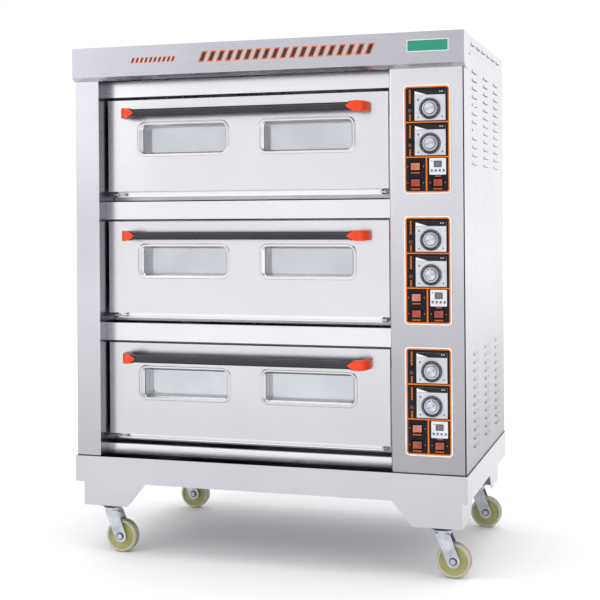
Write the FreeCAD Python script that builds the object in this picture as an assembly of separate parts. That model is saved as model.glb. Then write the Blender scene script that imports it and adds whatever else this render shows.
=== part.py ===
import FreeCAD, Part
import math
import os

# Three-deck electric baking oven on casters, millimetres.
# +Z is up, the doors face -Y and +X is on the right as the user stands in front.
# The origin is on the floor, at the middle of the footprint.

V = FreeCAD.Vector
X_AXIS = V(1, 0, 0)
Y_AXIS = V(0, 1, 0)
Z_AXIS = V(0, 0, 1)

# ---- overall body ----
WIDTH = 1220.0
HEIGHT = 1559.0
BODY_DEPTH = 754.0          # pillar plane to the rear panel's outer face
HEADER_OVERHANG = 16.0      # header in front of the pillar plane
GLAND_REACH = 26.0          # cable gland behind the rear panel
SHEET = 1.5                 # usual sheet thickness
GAP = 0.3                   # gap between neighbouring sheets

HALF_WIDTH = WIDTH / 2
TOTAL_DEPTH = HEADER_OVERHANG + BODY_DEPTH + GLAND_REACH
HEADER_Y = -TOTAL_DEPTH / 2
PILLAR_Y = HEADER_Y + HEADER_OVERHANG
REAR_Y = PILLAR_Y + BODY_DEPTH

# ---- base, legs and header heights ----
BASE_TOP = 302.0
BASE_BOTTOM = 223.0
BASE_FRONT_Y = PILLAR_Y - 10
HEADER_FACE_BOTTOM = 1468.0
HEADER_LIP_BOTTOM = 1457.0
HEADER_RETURN_DEPTH = 76.0
COVER_SEAM = 1515.0
SIDE_X = 606.5              # outer face of the side panels
PANEL_SHEET = 1.2
PANEL_FOLD = 14.0
BASE_WALL = 2.0

# ---- deck modules ----
DECKS = ("upper", "middle", "lower")
DECK_PITCH = 376.0
UPPER_DOOR_BOTTOM = 1117.0
DOOR_HEIGHT = 283.0
DOOR_WIDTH = 896.0
DOOR_X = -73.5              # middle of the doors and chambers
DOOR_RECESS = 53.0          # door face behind the pillar plane
DOOR_Y = PILLAR_Y + DOOR_RECESS
SKIN_SHEET = 1.2
SKIN_RETURN = 20.0
TOP_TRIM_BOTTOM = 1410.0
TRIM_DROP = 32.0            # trim's top edge below the door above it
TRIM_HEIGHT = 54.0
TRIM_LIP = 12.0
LINER_SHEET = 2.0
LINER_WIDTH = 850.0
LINER_FRONT_Y = DOOR_Y + 23
LINER_REAR_Y = DOOR_Y + 52
LINER_DROP = 17.0           # liner below the bottom edge of the skin
LINER_TOP_INSET = 8.0

# ---- door hinge ----
HINGE_Y = DOOR_Y + 19
HINGE_DROP = 9.0            # pin below the bottom edge of the skin
PIN_R = 4.0
PIN_CLEARANCE = 0.05
KNUCKLE_R = 7.5

# ---- door windows ----
WINDOW_OFFSET = 198.0       # window middle from the door's middle
WINDOW_UP = 160.0           # window middle above the skin's bottom edge
RIM_W, RIM_H, RIM_R = 303.0, 108.0, 25.0
GLASS_W, GLASS_H, GLASS_R = 273.0, 80.0, 7.0
DISH_DEPTH = 12.0
PANE = 4.0
PANE_MARGIN = 9.0

# ---- door handle ----
HANDLE_UP = 239.5
HANDLE_Y = PILLAR_Y + 5
HANDLE_R = 12.0
HANDLE_STRAIGHT = 350.0     # half length of the straight tube
HANDLE_FOOT = 392.0         # half length over the feet
HANDLE_LEAD = 14.0          # straight part of each cap along the tube
CAP_HEIGHT = 31.0
CAP_THICK = 3.0
CAP_TIP_RUN = 28.0          # length over which a cap widens from its tip
FOOT_HEIGHT = 28.0

# ---- oven chambers ----
CHAMBER_W = 830.0
MOUTH_BOTTOM_UP = 33.0      # mouth above the skin's bottom edge
MOUTH_H = 202.0
CHAMBER_BOTTOM_UP = 1.0
CHAMBER_H = 250.0
CHAMBER_FRONT_Y = DOOR_Y + 55
CHAMBER_DEPTH = 605.0
SOLE_THICK = 5.0
INSULATION_SIDE = 28.0
INSULATION_TOP = 30.0
INSULATION_BOTTOM = 28.0

# ---- heating elements ----
ROD_R = 4.0
HAIRPINS = 3
HAIRPIN_PITCH = 190.0
HAIRPIN_WIDTH = 90.0
ROD_TAIL = 40.0
LOWER_ROD_UP = 12.0         # rod above the chamber floor
UPPER_ROD_DOWN = 10.0       # rod below the chamber roof

# ---- pillar and control column ----
PILLAR_LEFT_X = -605.0
PILLAR_RIGHT_X = -529.0
COLUMN_LEFT_X = 388.0
COLUMN_RIGHT_X = 602.0
COLUMN_RETURN = 104.0
COLUMN_BEND = 8.0
PILLAR_RETURN = 108.0
POST_FLANGE = 110.0         # outer flange that the side panel is screwed to
POST_FLANGE_SHEET = 1.2
POST_TOP = HEADER_LIP_BOTTOM + 3
FLANGE_TOP = COVER_SEAM - GAP   # the outer flanges carry on up inside the header

# ---- control plates, measured from each plate's middle ----
PLATE_X = 497.0
UPPER_PLATE_Z = 1254.0
PLATE_PITCH = 373.0
PLATE_W, PLATE_H, PLATE_R = 138.0, 311.0, 12.0
PLATE_SHIFT = 2.3            # plate centre right of the dials' reference line
PLATE_THICK = 1.5
PLATE_FRONT_Y = PILLAR_Y - PLATE_THICK
DIALS = (("top_heat", 12.0, 87.0), ("bottom_heat", 12.0, -12.0))
BODY_W, BODY_UP, BODY_DOWN = 88.5, 52.5, 33.5
BODY_PROUD = 3.0
RING_R, RING_PROUD = 30.3, 1.5
KNOB_R, KNOB_LENGTH = 21.3, 9.0
KNOB_SKIRT = 4.0
SPINDLE_R = 3.0
SPINDLE_LENGTH = 6.5         # reach into the knob
INDICATORS = ((-46.5, 81.5), (-46.5, -17.0))
INDICATOR_R = 5.5
ROCKERS = (("power", -32.0, -77.0), ("lamp", -32.0, -123.5), ("timer", 32.5, -123.5))
ROCKER_HALF_W, ROCKER_H = 12.6, 20.0
ROCKER_PIN_R = 1.5
ROCKER_TILT = 9.0
BEZEL_W, BEZEL_H, BEZEL_PROUD = 32.0, 25.0, 2.0
TIMER = (33.3, -77.6)
TIMER_SIZE, TIMER_PROUD = 47.0, 5.0
TIMER_CASE_HALF = 21.5
THERMOSTAT_CASE = (34.0, 28.0, 40.0)     # half width, below and above the dial
SWITCH_CASE = (14.5, 11.5)               # half width, half height
CUT_OUT_GAP = 0.6                        # around each case in the plate and the column

# ---- louvres ----
LOUVRE_W, LOUVRE_H, LOUVRE_PROUD = 78.0, 10.0, 3.5
LOUVRE_COLUMNS = (178.0, 388.0, 598.0)   # behind the pillar plane
LOUVRE_ROWS = 12
LOUVRE_PITCH = 24.5
LOUVRE_GROUP_TOPS = (1464.5, 637.0)
COVER_LOUVRES = 6
COVER_LOUVRE_W = 56.0
COVER_LOUVRE_FIRST, COVER_LOUVRE_PITCH = 154.0, 99.0
COVER_LOUVRE_DROP = 16.0     # louvre tops below the roof
REAR_VENT_BANKS = (700.0, 1250.0)
REAR_VENTS, REAR_VENT_PITCH, REAR_VENT_H = 8, 22.0, 6.0
REAR_VENT_HALF_W = 60.0

# ---- cable gland ----
GLAND_X, GLAND_Z = 470.0, 420.0
GLAND_THREAD_R = 12.0
GLAND_BORE_R = 6.5
GLAND_INSIDE = 12.0          # thread inside the rear panel

# ---- panel screws ----
SCREW_R = 2.0
SCREW_HOLE_R = 2.1
SCREW_HEAD_R = 4.5
SCREW_HEAD_H = 2.2
SCREW_LENGTH = 8.0
SIDE_SCREW_Y = PILLAR_Y + 95
SCREW_INSET = 11.0           # from the panels' upper and lower edges

# ---- legs and casters ----
LEG_OUT, LEG_IN_BOTTOM, LEG_IN_TOP = 591.0, 446.0, 381.0
LEG_FRONT_Y = PILLAR_Y + 9.5
LEG_REAR_Y = PILLAR_Y + 701
LEG_BOTTOM = 147.0
LEG_SIDE_BOTTOM, LEG_SIDE_TOP = 140.0, 190.0
LEG_FLOOR_DEPTH, LEG_FLOOR_IN = 96.0, 468.0
LEG_SHEET = 2.5
WHEEL_R, WHEEL_W = 50.0, 30.0
HUB_W, HUB_R = 35.0, 17.0
AXLE_R = 5.0
TRAIL = 32.0
SWIVEL_LEFT_X, SWIVEL_RIGHT_X = -512.0, 527.5
SWIVEL_FRONT_Y = PILLAR_Y + 52
SWIVEL_REAR_Y = PILLAR_Y + 652
FORK_SHEET = 3.0
FORK_INNER = 18.5
ARM_TOP_BACK, ARM_TOP_FRONT = -19.0, 22.0    # top edge of each arm about the kingpin
ARM_END_R = 19.5
FORK_TOP = 127.0
RING_BOTTOM, RING_R = 131.5, 27.0            # bright ring on top of the fork
RACE_BOTTOM, RACE_R = 138.0, 34.0            # dark ball race under the top plate
KINGPIN_R = 6.0
CORNERS = (
    ("front_left", SWIVEL_LEFT_X, SWIVEL_FRONT_Y),
    ("front_right", SWIVEL_RIGHT_X, SWIVEL_FRONT_Y),
    ("rear_left", SWIVEL_LEFT_X, SWIVEL_REAR_Y),
    ("rear_right", SWIVEL_RIGHT_X, SWIVEL_REAR_Y),
)


# ---------------------------------------------------------------- helpers
def box(x0, x1, y0, y1, z0, z1):
    return Part.makeBox(x1 - x0, y1 - y0, z1 - z0, V(x0, y0, z0))


def rod(start, axis, radius, length):
    return Part.makeCylinder(radius, length, start, axis)


def prism(points, sweep):
    """Extrude a closed polygon of (x, y, z) points along the vector sweep."""
    wire = Part.makePolygon([V(*p) for p in points] + [V(*points[0])])
    return Part.Face(wire).extrude(sweep)


def rounded_wire(x, z, width, height, radius, y):
    """Rounded rectangle in the plane y, centred on (x, z)."""
    left, right = x - width / 2, x + width / 2
    low, high = z - height / 2, z + height / 2
    corners = (
        (right - radius, high - radius, 45),
        (left + radius, high - radius, 135),
        (left + radius, low + radius, 225),
        (right - radius, low + radius, 315),
    )
    arcs = []
    for cx, cz, middle in corners:
        spot = [
            V(cx + radius * math.cos(math.radians(a)), y, cz + radius * math.sin(math.radians(a)))
            for a in (middle - 45, middle, middle + 45)
        ]
        arcs.append(Part.Arc(*spot).toShape())
    edges = []
    for i, arc in enumerate(arcs):
        edges.append(arc)
        end = arc.Vertexes[1].Point
        following = arcs[(i + 1) % len(arcs)].Vertexes[0].Point
        edges.append(Part.LineSegment(end, following).toShape())
    return Part.Wire(edges)


def rounded_block(x, z, width, height, radius, y0, y1):
    wire = rounded_wire(x, z, width, height, radius, y0)
    return Part.Face(wire).extrude(V(0, y1 - y0, 0))


def join(first, others):
    return first.fuse(list(others)).removeSplitter()


def without(solid, tools):
    for tool in tools:
        solid = solid.cut(tool)
    return solid


def save(name, solids):
    shape = solids[0] if len(solids) == 1 else Part.makeCompound(solids)
    shape.exportStep("parts/" + name + ".step")


def deck_drop(index):
    return index * DECK_PITCH


def plate_z(index):
    return UPPER_PLATE_Z - index * PLATE_PITCH


# ---------------------------------------------------------------- casing
def base_frame():
    """Open-topped pan with the plinth as its front wall."""
    outer = box(-HALF_WIDTH, HALF_WIDTH, BASE_FRONT_Y, REAR_Y, BASE_BOTTOM, BASE_TOP)
    hollow = box(
        -HALF_WIDTH + BASE_WALL, HALF_WIDTH - BASE_WALL, BASE_FRONT_Y + BASE_WALL, REAR_Y - BASE_WALL,
        BASE_BOTTOM + BASE_WALL, BASE_TOP + 1,
    )
    return [outer.cut(hollow)]


def leg_bracket(side, front):
    """Folded corner bracket: front or rear face, side face and the caster's floor plate."""
    face_y = LEG_FRONT_Y if front else LEG_REAR_Y
    inward = 1 if front else -1
    x_out, x_bottom, x_top = side * LEG_OUT, side * LEG_IN_BOTTOM, side * LEG_IN_TOP
    face = prism(
        [(x_out, face_y, LEG_BOTTOM), (x_bottom, face_y, LEG_BOTTOM),
         (x_top, face_y, BASE_BOTTOM), (x_out, face_y, BASE_BOTTOM)],
        V(0, inward * LEG_SHEET, 0),
    )
    bottom_y = face_y + inward * LEG_SIDE_BOTTOM
    top_y = face_y + inward * LEG_SIDE_TOP
    cheek = prism(
        [(x_out, face_y, LEG_BOTTOM), (x_out, bottom_y, LEG_BOTTOM),
         (x_out, top_y, BASE_BOTTOM), (x_out, face_y, BASE_BOTTOM)],
        V(-side * LEG_SHEET, 0, 0),
    )
    floor_y = face_y + inward * LEG_FLOOR_DEPTH
    floor = prism(
        [(x_out, face_y, LEG_BOTTOM), (x_bottom, face_y, LEG_BOTTOM),
         (side * LEG_FLOOR_IN, floor_y, LEG_BOTTOM), (x_out, floor_y, LEG_BOTTOM)],
        V(0, 0, LEG_SHEET),
    )
    return join(face, [cheek, floor])


def leg_brackets():
    return [leg_bracket(side, front) for side in (-1, 1) for front in (True, False)]


def header_canopy():
    """Folded header: tall face, sloping lip, short top and two end caps."""
    back_y = HEADER_Y + HEADER_RETURN_DEPTH
    lip_y = PILLAR_Y - 1
    profile = [
        (HEADER_Y, HEADER_FACE_BOTTOM), (lip_y, HEADER_LIP_BOTTOM),
        (lip_y, HEADER_LIP_BOTTOM + 2), (HEADER_Y + SHEET, HEADER_FACE_BOTTOM + 1),
        (HEADER_Y + SHEET, HEIGHT - SHEET), (back_y, HEIGHT - SHEET),
        (back_y, HEIGHT), (HEADER_Y, HEIGHT),
    ]
    shell = prism([(-HALF_WIDTH, y, z) for y, z in profile], V(WIDTH, 0, 0))
    cap_outline = [
        (HEADER_Y, HEADER_FACE_BOTTOM), (lip_y, HEADER_LIP_BOTTOM),
        (back_y, HEADER_LIP_BOTTOM), (back_y, HEIGHT), (HEADER_Y, HEIGHT),
    ]
    caps = [
        prism([(x, y, z) for y, z in cap_outline], V(SHEET, 0, 0))
        for x in (-HALF_WIDTH, HALF_WIDTH - SHEET)
    ]
    return [join(shell, caps)]


def louvre(side, y_middle, z_top, width, hollow):
    """Wedge of one pressed louvre on a side face; the hollow one cuts its slot."""
    skin = 0.9
    back = SIDE_X - PANEL_SHEET - 1 if hollow else SIDE_X - PANEL_SHEET / 2
    low = z_top - LOUVRE_H
    inset = skin if hollow else 0.0
    reach = SIDE_X + LOUVRE_PROUD - inset
    points = [
        (side * back, y_middle - width / 2 + inset, z_top - inset * 2),
        (side * SIDE_X, y_middle - width / 2 + inset, z_top - inset * 2),
        (side * reach, y_middle - width / 2 + inset, low - (1 if hollow else 0)),
        (side * back, y_middle - width / 2 + inset, low - (1 if hollow else 0)),
    ]
    return prism(points, V(0, width - 2 * inset, 0))


def louvred(sheet, side, spots, width):
    hoods = [louvre(side, y, z, width, False) for y, z in spots]
    slots = [louvre(side, y, z, width, True) for y, z in spots]
    return sheet.fuse(hoods).cut(Part.makeCompound(slots))


def top_cover():
    """Flat roof with folded side and rear skirts and a row of louvres on each side."""
    front_y = HEADER_Y + HEADER_RETURN_DEPTH + GAP
    x_out = SIDE_X
    roof = box(-x_out, x_out, front_y, REAR_Y, HEIGHT - SHEET, HEIGHT)
    rear = box(-x_out, x_out, REAR_Y - SHEET, REAR_Y, COVER_SEAM, HEIGHT)
    sides = [
        box(-x_out, -x_out + PANEL_SHEET, front_y, REAR_Y, COVER_SEAM, HEIGHT),
        box(x_out - PANEL_SHEET, x_out, front_y, REAR_Y, COVER_SEAM, HEIGHT),
    ]
    cover = join(roof, [rear] + sides)
    first = PILLAR_Y + COVER_LOUVRE_FIRST
    spots = [(first + i * COVER_LOUVRE_PITCH, HEIGHT - COVER_LOUVRE_DROP) for i in range(COVER_LOUVRES)]
    for side in (-1, 1):
        cover = louvred(cover, side, spots, COVER_LOUVRE_W)
    return [cover]


def side_panel(side):
    """Outer side sheet with folded front and rear edges and two banks of louvres."""
    front_y = PILLAR_Y
    rear_y = REAR_Y - SHEET - GAP
    low, high = BASE_TOP + GAP, COVER_SEAM - GAP
    x_in, x_out = side * (SIDE_X - PANEL_SHEET), side * SIDE_X
    sheet = box(min(x_in, x_out), max(x_in, x_out), front_y, rear_y, low, high)
    fold_in = side * (SIDE_X - PANEL_FOLD)
    rear_fold = box(min(fold_in, x_out), max(fold_in, x_out), rear_y - PANEL_SHEET, rear_y, low, high)
    sheet = join(sheet, [rear_fold])
    spots = [
        (PILLAR_Y + y, top - row * LOUVRE_PITCH)
        for top in LOUVRE_GROUP_TOPS for row in range(LOUVRE_ROWS) for y in LOUVRE_COLUMNS
    ]
    return louvred(sheet, side, spots, LOUVRE_W).cut(screw_holes())


def side_panels():
    return [side_panel(-1), side_panel(1)]


def rear_panel():
    """Flat rear sheet with the cable gland's hole and vent slots behind the controls."""
    sheet = box(
        -SIDE_X, SIDE_X, REAR_Y - SHEET, REAR_Y, BASE_TOP + GAP, COVER_SEAM - GAP,
    )
    hole = rod(V(GLAND_X, REAR_Y - 3, GLAND_Z), Y_AXIS, GLAND_THREAD_R + PIN_CLEARANCE, 6)
    slots = []
    for bank in REAR_VENT_BANKS:
        for i in range(REAR_VENTS):
            z = bank + i * REAR_VENT_PITCH
            slots.append(box(
                GLAND_X - REAR_VENT_HALF_W, GLAND_X + REAR_VENT_HALF_W,
                REAR_Y - 3, REAR_Y + 1, z, z + REAR_VENT_H,
            ))
    return [sheet.cut(Part.makeCompound([hole] + slots)).cut(screw_holes())]


def cable_gland():
    """Plastic gland: threaded stem, hexagon collar, domed nut and lock nut, open bore."""
    start = REAR_Y
    collar = Part.Face(hexagon(GLAND_X, start, GLAND_Z, 18.0)).extrude(V(0, 6, 0))
    stem = rod(V(GLAND_X, start - GLAND_INSIDE, GLAND_Z), Y_AXIS, GLAND_THREAD_R, GLAND_INSIDE + 2)
    nut = Part.Face(hexagon(GLAND_X, start + 6, GLAND_Z, 16.0)).extrude(V(0, 12, 0))
    dome = Part.makeCone(14.0, 9.0, GLAND_REACH - 18, V(GLAND_X, start + 18, GLAND_Z), Y_AXIS)
    lock = Part.Face(hexagon(GLAND_X, start - SHEET - 5, GLAND_Z, 17.0)).extrude(V(0, 5, 0))
    bore = rod(V(GLAND_X, start - 20, GLAND_Z), Y_AXIS, GLAND_BORE_R, 60)
    return [join(collar, [stem, nut, dome, lock]).cut(bore)]


def hexagon(x, y, z, radius):
    points = [
        V(x + radius * math.cos(math.radians(60 * i)), y, z + radius * math.sin(math.radians(60 * i)))
        for i in range(6)
    ]
    return Part.makePolygon(points + [points[0]])


def front_pillar():
    """Left front post: face, a deep inner return beside the doors and an outer flange."""
    low = BASE_TOP + GAP
    left, right = PILLAR_LEFT_X, PILLAR_RIGHT_X
    face = box(left, right, PILLAR_Y, PILLAR_Y + SHEET, low, POST_TOP)
    inner = box(right - SHEET, right, PILLAR_Y, PILLAR_Y + PILLAR_RETURN, low, POST_TOP)
    outer = box(left, left + POST_FLANGE_SHEET, PILLAR_Y, PILLAR_Y + POST_FLANGE, low, FLANGE_TOP)
    return [join(face, [inner, outer]).cut(screw_holes())]


def control_openings(index):
    """Cut-outs behind one control plate, for the plate and the column."""
    middle = plate_z(index)
    y0, y1 = PILLAR_Y - 20, PILLAR_Y + 20
    half, below, above = (size + CUT_OUT_GAP for size in THERMOSTAT_CASE)
    tools = []
    for _, dx, dz in DIALS:
        x, z = PLATE_X + dx, middle + dz
        tools.append(box(x - half, x + half, y0, y1, z - below, z + above))
    stem_hole_r = INDICATOR_R - 1.5 + CUT_OUT_GAP
    for dx, dz in INDICATORS:
        tools.append(rod(V(PLATE_X + dx, y0, middle + dz), Y_AXIS, stem_hole_r, y1 - y0))
    half_w, half_h = (size + CUT_OUT_GAP for size in SWITCH_CASE)
    for _, dx, dz in ROCKERS:
        x, z = PLATE_X + dx, middle + dz
        tools.append(box(x - half_w, x + half_w, y0, y1, z - half_h, z + half_h))
    x, z = PLATE_X + TIMER[0], middle + TIMER[1]
    half = TIMER_CASE_HALF + CUT_OUT_GAP
    tools.append(box(x - half, x + half, y0, y1, z - half, z + half))
    return Part.makeCompound(tools)


def control_column():
    """Right front post that carries the three control plates; its left edge is a wide bend."""
    low, height = BASE_TOP + GAP, POST_TOP - BASE_TOP - GAP
    left, right = COLUMN_LEFT_X, COLUMN_RIGHT_X
    face = box(left + COLUMN_BEND, right, PILLAR_Y, PILLAR_Y + SHEET, low, POST_TOP)
    centre = V(left + COLUMN_BEND, PILLAR_Y + COLUMN_BEND, low)
    ring = rod(centre, Z_AXIS, COLUMN_BEND, height).cut(rod(centre, Z_AXIS, COLUMN_BEND - SHEET, height))
    bend = ring.common(box(left, centre.x, PILLAR_Y, centre.y, low, POST_TOP))
    inner = box(left, left + SHEET, centre.y, PILLAR_Y + COLUMN_RETURN, low, POST_TOP)
    outer = box(right - POST_FLANGE_SHEET, right, PILLAR_Y, PILLAR_Y + POST_FLANGE, low, FLANGE_TOP)
    column = join(face, [bend, inner, outer]).cut(screw_holes())
    return [without(column, [control_openings(index) for index in range(len(DECKS))])]


def deck_trims():
    """Folded strips above, between and below the doors, with a shallow back lip."""
    left, right = PILLAR_RIGHT_X + GAP, COLUMN_LEFT_X - GAP
    bands = [(TOP_TRIM_BOTTOM, POST_TOP)]
    for index in range(len(DECKS)):
        top = UPPER_DOOR_BOTTOM - TRIM_DROP - deck_drop(index)
        bottom = top - TRIM_HEIGHT if index < len(DECKS) - 1 else BASE_TOP + GAP
        bands.append((bottom, top))
    trims = []
    for low, high in bands:
        face = box(left, right, DOOR_Y, DOOR_Y + SHEET, low, high)
        upper = box(left, right, DOOR_Y, DOOR_Y + TRIM_LIP, high - SHEET, high)
        lower = box(left, right, DOOR_Y, DOOR_Y + TRIM_LIP, low, low + SHEET)
        trims.append(join(face, [upper, lower]))
    return trims


# ---------------------------------------------------------------- oven chambers
def chamber_box(index, grow):
    low = UPPER_DOOR_BOTTOM + CHAMBER_BOTTOM_UP - deck_drop(index)
    return box(
        DOOR_X - CHAMBER_W / 2 - grow, DOOR_X + CHAMBER_W / 2 + grow,
        CHAMBER_FRONT_Y, CHAMBER_FRONT_Y + CHAMBER_DEPTH + grow,
        low - grow, low + CHAMBER_H + grow,
    )


def rod_levels(index):
    floor = UPPER_DOOR_BOTTOM + CHAMBER_BOTTOM_UP - deck_drop(index)
    return (floor + LOWER_ROD_UP, floor + CHAMBER_H - UPPER_ROD_DOWN)


def rod_rows():
    middle = CHAMBER_FRONT_Y + CHAMBER_DEPTH / 2
    return [middle + (i - (HAIRPINS - 1) / 2) * HAIRPIN_PITCH for i in range(HAIRPINS)]


def rod_exits(index, radius):
    """Cylinders where the element tails pass the chamber's right wall."""
    right = DOOR_X + CHAMBER_W / 2
    tools = []
    for z in rod_levels(index):
        for y in rod_rows():
            for leg in (-HAIRPIN_WIDTH / 2, HAIRPIN_WIDTH / 2):
                tools.append(rod(V(right - 5, y + leg, z), X_AXIS, radius, ROD_TAIL + 10))
    return Part.makeCompound(tools)


def oven_chamber(index):
    """Baking chamber: five walls, a front frame around the mouth and ledges for the sole."""
    shell = chamber_box(index, SHEET).cut(chamber_box(index, 0.0).cut(
        box(-HALF_WIDTH, HALF_WIDTH, CHAMBER_FRONT_Y, CHAMBER_FRONT_Y + SHEET, 0, HEIGHT)))
    low = UPPER_DOOR_BOTTOM - deck_drop(index)
    frame = box(
        PILLAR_RIGHT_X + 2, COLUMN_LEFT_X - 2, CHAMBER_FRONT_Y, CHAMBER_FRONT_Y + SHEET,
        low - 28, low + DOOR_HEIGHT + 3,
    )
    mouth = box(
        DOOR_X - CHAMBER_W / 2, DOOR_X + CHAMBER_W / 2, CHAMBER_FRONT_Y - 1, CHAMBER_FRONT_Y + SHEET + 1,
        low + MOUTH_BOTTOM_UP, low + MOUTH_BOTTOM_UP + MOUTH_H,
    )
    ledges = []
    ledge_top = low + MOUTH_BOTTOM_UP - SOLE_THICK
    for side in (-1, 1):
        wall = DOOR_X + side * CHAMBER_W / 2
        x0, x1 = sorted((wall, wall - side * 14))
        ledges.append(box(
            x0, x1, CHAMBER_FRONT_Y + SHEET, CHAMBER_FRONT_Y + CHAMBER_DEPTH,
            ledge_top - SHEET, ledge_top,
        ))
    chamber = join(shell, [frame] + ledges).cut(mouth)
    return chamber.cut(rod_exits(index, ROD_R + 0.2))


def oven_chambers():
    return [oven_chamber(i) for i in range(len(DECKS))]


def sole_plates():
    """Thick steel baking floors that rest on the chambers' ledges."""
    plates = []
    for index in range(len(DECKS)):
        top = UPPER_DOOR_BOTTOM + MOUTH_BOTTOM_UP - deck_drop(index)
        plates.append(box(
            DOOR_X - CHAMBER_W / 2 + 1, DOOR_X + CHAMBER_W / 2 - 1,
            CHAMBER_FRONT_Y + SHEET + 0.5, CHAMBER_FRONT_Y + CHAMBER_DEPTH - 1,
            top - SOLE_THICK, top,
        ))
    return plates


def heating_elements():
    """Hairpin rods under the sole and below the roof; their tails leave on the right."""
    right = DOOR_X + CHAMBER_W / 2
    bend_r = HAIRPIN_WIDTH / 2
    bend_x = DOOR_X - CHAMBER_W / 2 + 30 + bend_r
    hairpins = []
    for index in range(len(DECKS)):
        for z in rod_levels(index):
            for y in rod_rows():
                ring = Part.makeTorus(bend_r, ROD_R, V(bend_x, y, z), Z_AXIS)
                half = box(bend_x - bend_r - 10, bend_x, y - bend_r - 10, y + bend_r + 10, z - 10, z + 10)
                length = right + ROD_TAIL - bend_x
                legs = [
                    rod(V(bend_x, y + offset, z), X_AXIS, ROD_R, length)
                    for offset in (-bend_r, bend_r)
                ]
                hairpins.append(ring.common(half).fuse(legs))
    return hairpins


def insulation():
    """Mineral wool jacket around each chamber, open at the front."""
    jackets = []
    for index in range(len(DECKS)):
        low = UPPER_DOOR_BOTTOM + CHAMBER_BOTTOM_UP - deck_drop(index)
        outer = box(
            DOOR_X - CHAMBER_W / 2 - INSULATION_SIDE, DOOR_X + CHAMBER_W / 2 + INSULATION_SIDE,
            CHAMBER_FRONT_Y + SHEET + 1, REAR_Y - SHEET - 1,
            low - INSULATION_BOTTOM, low + CHAMBER_H + INSULATION_TOP,
        )
        outer = outer.cut(chamber_box(index, SHEET + GAP))
        jackets.append(outer.cut(rod_exits(index, ROD_R + 0.5)))
    return jackets


# ---------------------------------------------------------------- doors
def window_middles():
    return (DOOR_X - WINDOW_OFFSET, DOOR_X + WINDOW_OFFSET)


def dish(x, z, shrink, y0, y1):
    """Sloping window surround from the rim at y0 to the glass edge at y1."""
    front = rounded_wire(x, z, RIM_W - shrink, RIM_H - shrink, RIM_R - shrink / 2, y0)
    back = rounded_wire(x, z, GLASS_W + 3 - shrink, GLASS_H + 3 - shrink, GLASS_R, y1)
    return Part.makeLoft([front, back], True, True)


def door_skin(index):
    """Outer door sheet: folded edges and two dished window surrounds."""
    low = UPPER_DOOR_BOTTOM - deck_drop(index)
    left, right = DOOR_X - DOOR_WIDTH / 2, DOOR_X + DOOR_WIDTH / 2
    tray = box(left, right, DOOR_Y, DOOR_Y + SKIN_RETURN, low, low + DOOR_HEIGHT)
    hollow = box(
        left + SKIN_SHEET, right - SKIN_SHEET, DOOR_Y + SKIN_SHEET, DOOR_Y + SKIN_RETURN + 1,
        low + SKIN_SHEET, low + DOOR_HEIGHT - SKIN_SHEET,
    )
    skin = tray.cut(hollow)
    z = low + WINDOW_UP
    dishes = [dish(x, z, 0.0, DOOR_Y, DOOR_Y + DISH_DEPTH) for x in window_middles()]
    cutters = [dish(x, z, 3.0, DOOR_Y - 0.01, DOOR_Y + DISH_DEPTH + 0.01) for x in window_middles()]
    return without(join(skin, dishes), cutters)


def door_liner(index):
    """Inner door tray with window cut-outs and the two hinge knuckles at its lower corners."""
    low = UPPER_DOOR_BOTTOM - deck_drop(index)
    left, right = DOOR_X - LINER_WIDTH / 2, DOOR_X + LINER_WIDTH / 2
    bottom, top = low - LINER_DROP, low + DOOR_HEIGHT - LINER_TOP_INSET
    tray = box(left, right, LINER_FRONT_Y, LINER_REAR_Y, bottom, top)
    hollow = box(
        left + LINER_SHEET, right - LINER_SHEET, LINER_FRONT_Y - 1, LINER_REAR_Y - LINER_SHEET,
        bottom + LINER_SHEET, top - LINER_SHEET,
    )
    liner = tray.cut(hollow)
    windows = [
        rounded_block(x, low + WINDOW_UP, GLASS_W, GLASS_H, GLASS_R, LINER_REAR_Y - 8, LINER_REAR_Y + 1)
        for x in window_middles()
    ]
    pin_z = low - HINGE_DROP
    ears = []
    for x in (left, right - LINER_SHEET):
        ear = rod(V(x, HINGE_Y, pin_z), X_AXIS, KNUCKLE_R, LINER_SHEET)
        web = box(x, x + LINER_SHEET, HINGE_Y, LINER_FRONT_Y + 2, pin_z - KNUCKLE_R, pin_z + KNUCKLE_R)
        ears += [ear, web]
    bore = rod(V(left - 5, HINGE_Y, pin_z), X_AXIS, PIN_R + PIN_CLEARANCE, LINER_WIDTH + 10)
    return without(join(liner, ears), windows + [bore])


def door_glass(index):
    """Outer and inner panes of both windows."""
    z = UPPER_DOOR_BOTTOM - deck_drop(index) + WINDOW_UP
    panes = []
    outer_y = DOOR_Y + DISH_DEPTH + 0.1
    inner_y = LINER_REAR_Y - LINER_SHEET - 0.1 - PANE
    for x in window_middles():
        for y in (outer_y, inner_y):
            width, height = GLASS_W + 2 * PANE_MARGIN, GLASS_H + 2 * PANE_MARGIN
            panes.append(box(x - width / 2, x + width / 2, y, y + PANE, z - height / 2, z + height / 2))
    return panes


def elbow(side, z, height, inner, outer, foot_y, lead):
    """Curved wall from a straight lead on the tube back to the door, between two quarter ellipses."""
    start_x = DOOR_X + side * HANDLE_STRAIGHT
    reach = HANDLE_FOOT - HANDLE_STRAIGHT
    back = foot_y - HANDLE_Y
    steps = 12

    def arc(offset):
        points = [(start_x - side * lead, foot_y - back - offset, z - height / 2)]
        for i in range(steps + 1):
            angle = math.radians(90.0 * i / steps)
            x = start_x + side * (reach - HANDLE_R + offset) * math.sin(angle)
            y = foot_y - (back + offset) * math.cos(angle)
            points.append((x, y, z - height / 2))
        return points

    return prism(arc(outer) + arc(inner)[::-1], V(0, 0, height))


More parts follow.
